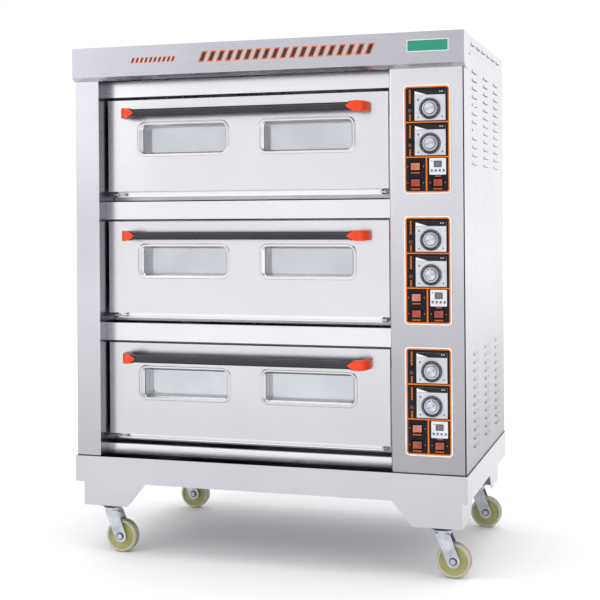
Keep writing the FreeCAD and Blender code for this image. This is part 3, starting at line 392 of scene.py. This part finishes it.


# The foot paints shade: the doors darken towards the bottom.
DOOR_STEEL = steel(
    "door_steel", rgb(0.75, 0.74, 0.76), "x", (0.18, 0.28), 0.05, 0.06, foot=(0.35, 0.80, 0.80),
).material
# The foot paints shade: the column darkens strongly towards the bottom.
COLUMN_STEEL = steel(
    "column_steel", rgb(0.79, 0.78, 0.82), "z", (0.18, 0.3), 0.05, 0.10, foot=(0.20, 1.35, 0.45),
).material
BASE_STEEL = steel("base_steel", rgb(0.56, 0.55, 0.58), "x", (0.16, 0.28), 0.05, 0.10).material
# The foot paints shade: the side panels darken strongly towards the bottom.
SIDE_STEEL = steel(
    "side_steel", rgb(0.80, 0.80, 0.83), "z", (0.2, 0.34), 0.05, 0.08, foot=(0.12, 1.00, 0.26),
).material
TRIM_STEEL = steel("trim_steel", rgb(0.81, 0.80, 0.83), "x", (0.2, 0.3), 0.05, 0.06).material
INNER_STEEL = steel("inner_steel", rgb(0.74, 0.75, 0.77), "x", (0.3, 0.46), 0.05, 0.14).material
LINER_STEEL = steel("liner_steel", rgb(0.90, 0.90, 0.92), "x", (0.12, 0.22), 0.04, 0.05).material
ZINC = zinc().material
RACE_DARK = steel("race_dark", rgb(0.045, 0.045, 0.052), "x", (0.3, 0.45), 0.05, 0.2, 0.7).material
GLASS = glass("oven_glass", middle_of(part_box("upper_door_glass")).y).material
GRIP = plastic("handle_grip", rgb(0.013, 0.012, 0.018), (0.34, 0.48), 500.0, 0.12).material
CAP = plastic(
    "handle_cap", rgb(0.82, 0.050, 0.005), (0.24, 0.36), 600.0, 0.06,
    worn=rgb(0.88, 0.070, 0.008), coat=0.25, shine=0.3,
).material
PLATE = plastic(
    "plate_print", rgb(0.005, 0.007, 0.010), (0.3, 0.42), 900.0, 0.06,
    worn=rgb(0.010, 0.014, 0.018), shine=0.18,
).material
CASE_GREY = plastic("controller_grey", rgb(0.56, 0.56, 0.60), (0.4, 0.52), shine=0.35).material
TIMER_PALE = plastic("timer_pale", rgb(0.66, 0.67, 0.71), (0.38, 0.5), shine=0.35).material
SWITCH_BLACK = plastic(
    "switch_black", rgb(0.0012, 0.0012, 0.0016), (0.26, 0.38), depth=0.05,
    worn=rgb(0.003, 0.003, 0.004), shine=0.06,
).material
KEY_GREY = plastic("key_grey", rgb(0.14, 0.145, 0.16), (0.36, 0.5), 600.0, 0.06).material
GLAND_BLACK = plastic("gland_black", rgb(0.02, 0.02, 0.02), (0.4, 0.55)).material
LENS_RED = tinted("lens_red", rgb(0.13, 0.003, 0.003), rgb(0.05, 0.002, 0.002)).material
ROCKER_RED = tinted("rocker_red", rgb(0.42, 0.060, 0.014), rgb(0.22, 0.016, 0.006)).material
ROCKER_PALE = tinted("rocker_pale", rgb(0.62, 0.22, 0.16), rgb(0.48, 0.13, 0.09)).material
ORANGE = plastic(
    "orange_ink", rgb(0.80, 0.175, 0.006), (0.38, 0.5), worn=rgb(0.86, 0.21, 0.010), shine=0.2,
).material
PALE_INK = plastic("pale_ink", rgb(0.78, 0.78, 0.80), (0.36, 0.5)).material
DARK_INK = plastic("dark_ink", rgb(0.010, 0.011, 0.014), (0.36, 0.5), shine=0.25).material
SCREEN = plastic("screen_grey", rgb(0.13, 0.135, 0.14), (0.2, 0.3), 500.0, 0.05).material
RING_BLACK = plastic("ring_black", rgb(0.030, 0.030, 0.034), (0.28, 0.4), shine=0.4).material
SOLE_OXIDE = oxide("sole_plate", rgb(0.2, 0.2, 0.21), rgb(0.1, 0.085, 0.075), 5.0, 0.6).material
ELEMENT_OXIDE = oxide("element", rgb(0.16, 0.15, 0.14), rgb(0.09, 0.07, 0.06), 18.0, 0.8).material
WOOL = wool().material
KNOB_METAL = steel("knob_metal", rgb(0.56, 0.58, 0.64), "x", (0.14, 0.24), 0.06, 0.1).material

paint(["header_canopy"], header_finish())
paint(["front_pillar"], pillar_finish())
paint(["control_column"], COLUMN_STEEL)
paint(["base_frame", "leg_brackets"], BASE_STEEL)
paint(["side_panels", "top_cover", "rear_panel"], SIDE_STEEL)
paint(["deck_trims"], TRIM_STEEL)
paint(deck_nodes("door_skin"), DOOR_STEEL)
paint(["oven_chambers"], INNER_STEEL)
paint(deck_nodes("door_liner"), LINER_STEEL)
paint(deck_nodes("door_glass"), GLASS)
paint(deck_nodes("door_handle"), GRIP)
paint(deck_nodes("door_handle_caps"), CAP)
paint(["hinge_brackets", "panel_screws"] + ["caster_fork_" + c for c in CORNERS], ZINC)
paint(["caster_plates"], RACE_DARK)
for corner_name in CORNERS:
    paint(["caster_wheel_" + corner_name], nylon(corner_name).material)
paint(["sole_plates"], SOLE_OXIDE)
paint(["heating_elements"], ELEMENT_OXIDE)
paint(["insulation"], WOOL)
paint(["control_plates"], PLATE)
paint(["thermostat_bodies"], CASE_GREY)
paint(["timer_modules"], TIMER_PALE)
paint(["switch_bezels"], SWITCH_BLACK)
paint(["indicator_lamps"], LENS_RED)
paint(["cable_gland"], GLAND_BLACK)
paint(deck_nodes("top_heat_knob") + deck_nodes("bottom_heat_knob"), KNOB_METAL)
paint(deck_nodes("power_rocker"), ROCKER_PALE)
paint(deck_nodes("lamp_rocker") + deck_nodes("timer_rocker"), ROCKER_RED)


# ---------------------------------------------------------------- mesh helpers
def add(name, bm, material, body):
    """Turn a bmesh into a piece that rides on a body."""
    bmesh.ops.recalc_face_normals(bm, faces=bm.faces)
    mesh = bpy.data.meshes.new(name)
    bm.to_mesh(mesh)
    bm.free()
    mesh.materials.append(material)
    made = bpy.data.objects.new(name, mesh)
    bpy.context.scene.collection.objects.link(made)
    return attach(made, body)


def rectangle(x, z, width, height):
    """Corners of a rectangle on the XZ plane, anticlockwise."""
    return [
        (x - width / 2, z - height / 2), (x + width / 2, z - height / 2),
        (x + width / 2, z + height / 2), (x - width / 2, z + height / 2),
    ]


def rounded(x, z, width, height, radius, steps=5):
    """Points of a rounded rectangle on the XZ plane, anticlockwise."""
    points = []
    for cx, cz, start in (
        (x + width / 2 - radius, z + height / 2 - radius, 0),
        (x - width / 2 + radius, z + height / 2 - radius, 90),
        (x - width / 2 + radius, z - height / 2 + radius, 180),
        (x + width / 2 - radius, z - height / 2 + radius, 270),
    ):
        for i in range(steps + 1):
            angle = math.radians(start + 90 * i / steps)
            points.append((cx + radius * math.cos(angle), cz + radius * math.sin(angle)))
    return points


def disc(x, z, radius, steps=20):
    """Points of a circle on the XZ plane, anticlockwise."""
    return [
        (x + radius * math.cos(2 * math.pi * i / steps), z + radius * math.sin(2 * math.pi * i / steps))
        for i in range(steps)
    ]


def slab(bm, outline, front, back):
    """Closed flat solid: outline on the XZ plane, from y front to y back."""
    near = [bm.verts.new((x, front, z)) for x, z in outline]
    far = [bm.verts.new((x, back, z)) for x, z in outline]
    bm.faces.new(near)
    bm.faces.new(far[::-1])
    count = len(outline)
    for i in range(count):
        j = (i + 1) % count
        bm.faces.new((near[i], far[i], far[j], near[j]))


def join_loops(bm, loops):
    """Faces from each loop of points to the next, and from the last loop back to the first."""
    count = len(loops[0])
    for k, first in enumerate(loops):
        second = loops[(k + 1) % len(loops)]
        for i in range(count):
            j = (i + 1) % count
            bm.faces.new((first[i], first[j], second[j], second[i]))


def frame_ring(bm, outer, inner, front, back):
    """Closed ring between two outlines with the same number of points."""
    join_loops(bm, [
        [bm.verts.new((x, y, z)) for x, z in points]
        for points, y in ((outer, front), (inner, front), (inner, back), (outer, back))
    ])


def turned(bm, x, z, profile, ribs, flute=0.0, fluted_from=0.02):
    """Closed ring of revolution about Y from (radius, y) points.

    Every second point beyond the radius fluted_from is drawn in by flute.
    """
    loops = []
    for r, y in profile:
        loop = []
        for i in range(ribs * 2):
            radius = r - (flute if i % 2 and r > fluted_from else 0.0)
            angle = math.pi * i / ribs
            loop.append(bm.verts.new((x + radius * math.cos(angle), y, z + radius * math.sin(angle))))
        loops.append(loop)
    join_loops(bm, loops)


# ---------------------------------------------------------------- control plates
# Places on a plate are (x, z) from PLATE_X, a little left of its middle, and from its middle height.
PLATE_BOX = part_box("control_plates")
PLATE_W, PLATE_H = 0.138, 0.311
PLATE_Y = PLATE_BOX[0].y
PLATE_MIDDLE_X = middle_of(PLATE_BOX).x
PRINT_SHIFT = 0.0023
PLATE_X = PLATE_MIDDLE_X - PRINT_SHIFT
TOP_PLATE_Z = PLATE_BOX[1].z - PLATE_H / 2
PLATE_PITCH = (PLATE_BOX[1].z - PLATE_BOX[0].z - PLATE_H) / 2
INK = 0.00025

# Borders: (distance inside the plate's edge, corner radius) of their outer and inner outlines.
PALE_BORDER = ((0.0002, 0.0118), (0.0043, 0.0085))
ORANGE_BORDER = ((0.0047, 0.0082), (0.0080, 0.0055))
INSIDE_BORDER = 0.0081
# Orange lines: two level ones, and one upright between the switches that ends at SPLIT_TOP.
LEVEL_LINES, LEVEL_LINE_H = (0.049, -0.0503), 0.0036
SPLIT_X, SPLIT_TOP, SPLIT_W = 0.0005, -0.0522, 0.0042
DASH_PITCH, DASH_SHARE = 0.0042, 0.62
UPRIGHT_DASH_W, LEVEL_DASH_H = 0.0048, 0.0036
# Upright rows of dashes as (low z, high z), all at one x, and level ones as (x, z, width).
UPRIGHT_DASHES_X = -0.0465
UPRIGHT_DASHES = ((0.102, 0.142), (0.053, 0.072), (0.003, 0.041), (-0.0470, -0.027))
LEVEL_DASHES = (
    (-0.032, -0.0948, 0.025), (-0.032, -0.1412, 0.025), (0.0335, -0.1050, 0.018), (0.0325, -0.1412, 0.025),
)
DOTS = (
    (-0.0535, -0.077), (-0.0085, -0.077), (-0.0535, -0.1235), (-0.0085, -0.1235), (0.0110, -0.1235),
    (0.0540, -0.1235),
)
DOT_R = 0.0015

# Thermostats. Places on one are (x, z) from the middle of its dial.
DIALS = {"top_heat": (0.012, 0.087), "bottom_heat": (0.012, -0.012)}
THERMOSTAT_RISE = 0.003
THERMOSTAT_Y = PLATE_Y - THERMOSTAT_RISE
SLOT_Z, SLOT_W, SLOT_H = 0.04585, 0.0886, 0.0133
FLASH = ((-0.0436, 0.0398), (-0.0095, 0.0398), (-0.0436, 0.0500))
FACE_DOTS = ((-0.034, 0.0255, 0.0024), (-0.034, -0.0245, 0.0021), (0.035, -0.0235, 0.0021))
SLOT_DOTS = ((0.029, 0.0478), (0.0355, 0.0478))
SLOT_DOT_R = 0.0016
# Scale ring: its distance in front of the face, and its section as (radius, rise).
RING_RISE = 0.0015
RING_SECTION = ((0.0303, 0.0), (0.0303, 0.0010), (0.0292, 0.0016), (0.0226, 0.0013), (0.0222, 0.0))
RING_RIBS = 36
# Graduations: angles in degrees, their outer radius, their lengths, and the rises of front and back.
GRADUATIONS, LONG_EVERY = 31, 5
FIRST_ANGLE, ANGLE_STEP = 225, 9
GRADUATION_R = 0.0284
LONG_GRADUATION, SHORT_GRADUATION = 0.0030, 0.0016
HALF_GRADUATION_W = 0.00028
GRADUATION_FRONT, GRADUATION_BACK = 0.0019, 0.0012

# Timers. Places on one are (x, z) from TIMER_X and the middle of the plate.
TIMER_SHIFT = 0.0333
TIMER_X = PLATE_X + TIMER_SHIFT
TIMER_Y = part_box("timer_modules")[0].y
DISPLAY = (0.0005, -0.0707)
# The display and its bezel: width, height, corner radius.
BEZEL_OUTER, BEZEL_INNER = (0.0225, 0.0180, 0.0016), (0.0198, 0.0153, 0.0010)
DISPLAY_SIZE = (0.0196, 0.0151, 0.0010)
BEZEL_RISE, DISPLAY_RISE = 0.0006, 0.0002
KEYS = 4
FIRST_KEY_X, KEY_PITCH, KEY_Z = -0.0168, 0.0114, -0.0893
KEY_SIZE, KEY_RISE = (0.0060, 0.0070, 0.0014), 0.0005
TIMER_DOT, TIMER_DOT_R = (-0.0165, -0.0625), 0.0016


def plate_middle(index):
    """Height of the middle of a plate, counted from the top one."""
    return TOP_PLATE_Z - index * PLATE_PITCH


def border(bm, middle, outlines):
    """Printed ring that follows the edge of a plate."""
    outer, inner = (
        rounded(PLATE_MIDDLE_X, middle, PLATE_W - 2 * inset, PLATE_H - 2 * inset, radius)
        for inset, radius in outlines
    )
    frame_ring(bm, outer, inner, PLATE_Y - INK, PLATE_Y)


def dashes(bm, x, z, length, upright):
    """Row of identical plain dashes printed on a plate, with its middle at (x, z)."""
    count = max(1, round(length / DASH_PITCH))
    pitch = length / count
    for i in range(count):
        step = (i + 0.5) * pitch - length / 2
        if upright:
            dash = rectangle(x, z + step, UPRIGHT_DASH_W, pitch * DASH_SHARE)
        else:
            dash = rectangle(x + step, z, pitch * DASH_SHARE, LEVEL_DASH_H)
        slab(bm, dash, PLATE_Y - INK, PLATE_Y)


def plate_print(index, deck):
    """Borders, lines, dashes and dots printed on one plate; none of it is lettering."""
    middle = plate_middle(index)
    pale, orange = bmesh.new(), bmesh.new()
    border(pale, middle, PALE_BORDER)
    border(orange, middle, ORANGE_BORDER)
    foot = INSIDE_BORDER - PLATE_H / 2
    lines = [
        rectangle(PLATE_MIDDLE_X, middle + z, PLATE_W - 2 * INSIDE_BORDER, LEVEL_LINE_H) for z in LEVEL_LINES
    ]
    lines.append(rectangle(PLATE_X + SPLIT_X, middle + (foot + SPLIT_TOP) / 2, SPLIT_W, SPLIT_TOP - foot))
    for line in lines:
        slab(orange, line, PLATE_Y - INK, PLATE_Y)
    for low, high in UPRIGHT_DASHES:
        dashes(orange, PLATE_X + UPRIGHT_DASHES_X, middle + (low + high) / 2, high - low, True)
    for x, z, width in LEVEL_DASHES:
        dashes(orange, PLATE_X + x, middle + z, width, False)
    for x, z in DOTS:
        slab(orange, disc(PLATE_X + x, middle + z, DOT_R), PLATE_Y - INK, PLATE_Y)
    add(deck + "_plate_margin", pale, PALE_INK, "casing")
    add(deck + "_plate_lines", orange, ORANGE, "casing")


def graduation(bm, x, z, number, back):
    """One raised line of the scale round the dial at (x, z); every fifth is long."""
    angle = math.radians(FIRST_ANGLE - ANGLE_STEP * number)
    inner = GRADUATION_R - (SHORT_GRADUATION if number % LONG_EVERY else LONG_GRADUATION)
    cos, sin = math.cos(angle), math.sin(angle)
    corners = [
        (x + radius * cos - side * sin, z + radius * sin + side * cos)
        for radius, side in (
            (inner, HALF_GRADUATION_W), (GRADUATION_R, HALF_GRADUATION_W),
            (GRADUATION_R, -HALF_GRADUATION_W), (inner, -HALF_GRADUATION_W),
        )
    ]
    slab(bm, corners, back - GRADUATION_FRONT, back - GRADUATION_BACK)


def thermostat_print(index, deck):
    """Dark slot and dots, pale marks, and the scale ring with its graduations, on two thermostats."""
    dark, marks, ring = bmesh.new(), bmesh.new(), bmesh.new()
    y = THERMOSTAT_Y
    for dial_x, dial_z in DIALS.values():
        x, z = PLATE_X + dial_x, plate_middle(index) + dial_z
        slab(dark, rectangle(x, z + SLOT_Z, SLOT_W, SLOT_H), y - INK, y)
        for dx, dz, radius in FACE_DOTS:
            slab(dark, disc(x + dx, z + dz, radius), y - INK, y)
        slab(marks, [(x + dx, z + dz) for dx, dz in FLASH], y - 2 * INK, y - INK)
        for dx, dz in SLOT_DOTS:
            slab(marks, disc(x + dx, z + dz, SLOT_DOT_R), y - 2 * INK, y - INK)
        back = y - RING_RISE
        turned(ring, x, z, [(r, back - rise) for r, rise in RING_SECTION], RING_RIBS)
        for number in range(GRADUATIONS):
            graduation(marks, x, z, number, back)
    add(deck + "_thermostat_slots", dark, DARK_INK, "casing")
    add(deck + "_thermostat_marks", marks, PALE_INK, "casing")
    add(deck + "_dial_rings", ring, RING_BLACK, "casing")


def timer_print(index, deck):
    """Blank display, its raised bezel and four unmarked key pads."""
    middle = plate_middle(index)
    x, z = TIMER_X + DISPLAY[0], middle + DISPLAY[1]
    dark, grey, keys = bmesh.new(), bmesh.new(), bmesh.new()
    frame_ring(dark, rounded(x, z, *BEZEL_OUTER), rounded(x, z, *BEZEL_INNER), TIMER_Y - BEZEL_RISE, TIMER_Y)
    slab(grey, rounded(x, z, *DISPLAY_SIZE), TIMER_Y - DISPLAY_RISE, TIMER_Y)
    for i in range(KEYS):
        key = rounded(TIMER_X + FIRST_KEY_X + i * KEY_PITCH, middle + KEY_Z, *KEY_SIZE)
        slab(keys, key, TIMER_Y - KEY_RISE, TIMER_Y)
    dot = disc(TIMER_X + TIMER_DOT[0], middle + TIMER_DOT[1], TIMER_DOT_R)
    slab(dark, dot, TIMER_Y - INK, TIMER_Y)
    add(deck + "_timer_marks", dark, DARK_INK, "casing")
    add(deck + "_timer_display", grey, SCREEN, "casing")
    add(deck + "_timer_keys", keys, KEY_GREY, "casing")


for number, deck_name in enumerate(DECKS):
    plate_print(number, deck_name)
    thermostat_print(number, deck_name)
    timer_print(number, deck_name)


# ---------------------------------------------------------------- doors
# Two windows in each door, this far from its middle and above its lower edge.
WINDOW_X, WINDOW_Z = 0.198, 0.160
# Bead: width, height and corner radius of its middle line, then half its own width, its rise off
# the door, and how far it lies above the middle of the window.
BEAD_W, BEAD_H, BEAD_R = 0.2935, 0.0985, 0.0215
BEAD_HALF_W, BEAD_RISE, BEAD_LIFT = 0.0048, 0.0030, 0.001
BEAD_STEPS, BEAD_CORNER_STEPS = 8, 8
# Sleeve: width, height and corner radius outside and inside, then how far its ends lie
# behind the door's face and before the back of its liner.
SLEEVE_OUTER, SLEEVE_INNER = (0.2745, 0.0815, 0.0072), (0.2721, 0.0791, 0.0062)
SLEEVE_FRONT, SLEEVE_BACK = 0.0170, 0.0068


def window_parts(deck):
    """Pressed bead round each window and the sleeve between the outer and inner panes."""
    low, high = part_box(deck + "_door_skin")
    middle_x, z, y = (low.x + high.x) / 2, low.z + WINDOW_Z, low.y
    liner_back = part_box(deck + "_door_liner")[1].y
    bead, sleeve = bmesh.new(), bmesh.new()
    for x in (middle_x - WINDOW_X, middle_x + WINDOW_X):
        loops = []
        for k in range(BEAD_STEPS + 1):
            angle = math.pi * k / BEAD_STEPS
            grow = BEAD_HALF_W * math.cos(angle)
            rise = BEAD_RISE * math.sin(angle)
            outline = rounded(
                x, z + BEAD_LIFT, BEAD_W + 2 * grow, BEAD_H + 2 * grow, BEAD_R + grow, BEAD_CORNER_STEPS,
            )
            loops.append([bead.verts.new((px, y - rise, pz)) for px, pz in outline])
        join_loops(bead, loops)
        frame_ring(
            sleeve, rounded(x, z, *SLEEVE_OUTER), rounded(x, z, *SLEEVE_INNER),
            y + SLEEVE_FRONT, liner_back - SLEEVE_BACK,
        )
    add(deck + "_window_beads", bead, DOOR_STEEL, deck + "_door")
    add(deck + "_window_sleeves", sleeve, INNER_STEEL, deck + "_door")


for deck_name in DECKS:
    window_parts(deck_name)


# ---------------------------------------------------------------- knobs
# Fluted rim: its section as (radius, rise), how far it stands off the back, its ribs and flutes.
RIM_SECTION = ((0.0216, 0.0), (0.0216, 0.0030), (0.0208, 0.0042), (0.0186, 0.0047), (0.0186, 0.0))
RIM_STAND_OFF, RIM_RIBS, RIM_FLUTE = 0.0002, 40, 0.0004
# Turned crown: how far its foot lies behind the knob's face, then its circles, whose rises alternate.
CROWN_DEPTH = 0.0004
CROWN_R, CROWN_STEP, CROWN_CIRCLES = 0.0140, 0.0006, 22
CROWN_RISES = (0.00020, 0.00050)
CROWN_RIBS = 36


def knob_trim(deck, dial, index):
    """Fluted rim round a knob and the turned rings on its crown."""
    knob = deck + "_" + dial + "_knob"
    low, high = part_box(knob)
    dial_x, dial_z = DIALS[dial]
    x, z = PLATE_X + dial_x, plate_middle(index) + dial_z
    bm = bmesh.new()
    back = high.y - RIM_STAND_OFF
    turned(bm, x, z, [(r, back - rise) for r, rise in RIM_SECTION], RIM_RIBS, RIM_FLUTE)
    foot = low.y + CROWN_DEPTH
    circles = [(CROWN_R - CROWN_STEP * i, foot - CROWN_RISES[i % 2]) for i in range(CROWN_CIRCLES)]
    turned(bm, x, z, [(circles[0][0], foot)] + circles + [(circles[-1][0], foot)], CROWN_RIBS)
    add(knob + "_trim", bm, KNOB_METAL, knob)


for number, deck_name in enumerate(DECKS):
    for dial_name in DIALS:
        knob_trim(deck_name, dial_name, number)


# ---------------------------------------------------------------- casters
# From the middle of the wheel to the outer face of the fork, and the section as (radius, rise).
FORK_FACE = 0.0215
WASHER_SECTION = ((0.0086, 0.0), (0.0086, 0.0012), (0.0110, 0.0012), (0.0114, 0.0))
WASHER_RIBS = 20


def axle_washer(corner):
    """Dark washer on the outer face of the fork, round the head of the axle bolt."""
    axle = middle_of(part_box("caster_wheel_" + corner))
    face = axle.y - FORK_FACE
    bm = bmesh.new()
    turned(bm, axle.x, axle.z, [(r, face - rise) for r, rise in WASHER_SECTION], WASHER_RIBS)
    add("axle_washer_" + corner, bm, RACE_DARK, "fork_" + corner)


for corner_name in CORNERS:
    axle_washer(corner_name)


# ---------------------------------------------------------------- stage, light, camera
FLOOR_HALF, FLOOR_Z = 60.0, -0.001
FLOOR_TONES, FLOOR_ROUGHNESS = (0.91, 0.93), (0.75, 0.85)

# Strengths of the surround. In front of the oven: bright to the left, grey to the right, and this
# share of the bright one far left. Then behind the oven, and overhead.
BRIGHT_LEFT, GREY_RIGHT, FAR_LEFT_SHARE = 1.14, 0.6, 0.72
BEHIND, OVERHEAD = 1.06, 1.35
# Where each change starts and ends, in the direction's own x, y and z.
LEFT_TO_RIGHT_X, FAR_LEFT_X = (-0.20, -0.05), (-0.62, -0.34)
FRONT_TO_BACK_Y, LEVEL_TO_UP_Z = (-0.35, 0.1), (0.3, 0.75)
SURROUND_TINT = (0.98, 0.98, 1.0, 1.0)

# Soft lights: place, target, size and power.
LIGHTS = {
    "key_left": ((-3.4, -3.2, 2.8), (0, 0, 0.8), (3.2, 3.2), 24),
    "fill_right": ((4.0, -1.6, 1.7), (0.3, 0, 0.8), (2.2, 2.8), 12),
    "top": ((0.0, -0.4, 4.0), (0, 0, 0.6), (3.4, 3.0), 30),
}

# The camera's angles are in degrees, and its lens and sensor in millimetres.
CAMERA_PLACE = (1.2018, -3.8698, 1.0508)
CAMERA_YAW, CAMERA_PITCH, CAMERA_ROLL = 17.234, 0.023, -0.417
CAMERA_LENS, CAMERA_SENSOR, CAMERA_SHIFT_Y = 74.75, 36.0, -0.148


def floor():
    """Plain pale floor with a faint even grain."""
    bm = bmesh.new()
    for x, y in ((-1, -1), (1, -1), (1, 1), (-1, 1)):
        bm.verts.new((x * FLOOR_HALF, y * FLOOR_HALF, FLOOR_Z))
    bm.verts.ensure_lookup_table()
    bm.faces.new(bm.verts)
    mesh = bpy.data.meshes.new("floor")
    bm.to_mesh(mesh)
    bm.free()
    m = Mat("floor_pale")
    grain = m.noise(EVEN, 60.0, 4.0, 0.6)
    tone = m.band(grain, 0.3, 0.7, *FLOOR_TONES)
    shade = m.node("ShaderNodeCombineColor")
    for socket in shade.inputs:
        m.feed(socket, tone)
    m.set(Base_Color=shade.outputs[0], Roughness=m.band(grain, 0.3, 0.7, *FLOOR_ROUGHNESS))
    mesh.materials.append(m.material)
    made = bpy.data.objects.new("floor", mesh)
    bpy.context.scene.collection.objects.link(made)


def soft_light(name, place, target, size, power):
    """Rectangular area light that faces its target."""
    data = bpy.data.lights.new(name, "AREA")
    data.shape = "RECTANGLE"
    data.size, data.size_y = size
    data.energy = power
    made = bpy.data.objects.new(name, data)
    made.location = place
    made.rotation_euler = (Vector(target) - Vector(place)).to_track_quat("-Z", "Y").to_euler()
    bpy.context.scene.collection.objects.link(made)


def world():
    """Soft pale surround whose strength changes smoothly with direction."""
    made = bpy.data.worlds.new("studio")
    made.use_nodes = True
    nodes = Nodes(made.node_tree)

    def change(value, edges, first, last):
        return nodes.band(value, *edges, first, last, "SMOOTHSTEP")

    def between(factor, first, second):
        gap = nodes.math("SUBTRACT", second, first)
        return nodes.math("ADD", first, nodes.math("MULTIPLY", factor, gap))

    x, y, z = nodes.split(nodes.node("ShaderNodeTexCoord").outputs["Generated"])
    left_to_right = change(x, LEFT_TO_RIGHT_X, BRIGHT_LEFT, GREY_RIGHT)
    in_front = nodes.math("MULTIPLY", left_to_right, change(x, FAR_LEFT_X, FAR_LEFT_SHARE, 1.0))
    around = between(change(y, FRONT_TO_BACK_Y, 1.0, 0.0), BEHIND, in_front)
    strength = between(change(z, LEVEL_TO_UP_Z, 0.0, 1.0), around, OVERHEAD)
    background = nodes.tree.nodes["Background"]
    nodes.feed(background.inputs["Color"], SURROUND_TINT)
    nodes.feed(background.inputs["Strength"], strength)
    bpy.context.scene.world = made


def camera():
    """Camera turned by its yaw, then its pitch, then its roll."""
    yaw, pitch, roll = (math.radians(angle) for angle in (CAMERA_YAW, CAMERA_PITCH, CAMERA_ROLL))
    forward = Vector((-math.sin(yaw) * math.cos(pitch), math.cos(yaw) * math.cos(pitch), math.sin(pitch)))
    level = Vector((math.cos(yaw), math.sin(yaw), 0.0))
    upright = level.cross(forward)
    right = math.cos(roll) * level + math.sin(roll) * upright
    up = -math.sin(roll) * level + math.cos(roll) * upright
    turn = Matrix((right, up, -forward)).transposed().to_4x4()
    data = bpy.data.cameras.new("camera")
    data.lens = CAMERA_LENS
    data.sensor_width = CAMERA_SENSOR
    data.shift_y = CAMERA_SHIFT_Y
    made = bpy.data.objects.new("camera", data)
    made.matrix_world = Matrix.Translation(CAMERA_PLACE) @ turn
    bpy.context.scene.collection.objects.link(made)
    bpy.context.scene.camera = made


floor()
world()
for light_name, light_values in LIGHTS.items():
    soft_light(light_name, *light_values)
camera()
bpy.context.scene.view_settings.view_transform = "Standard"
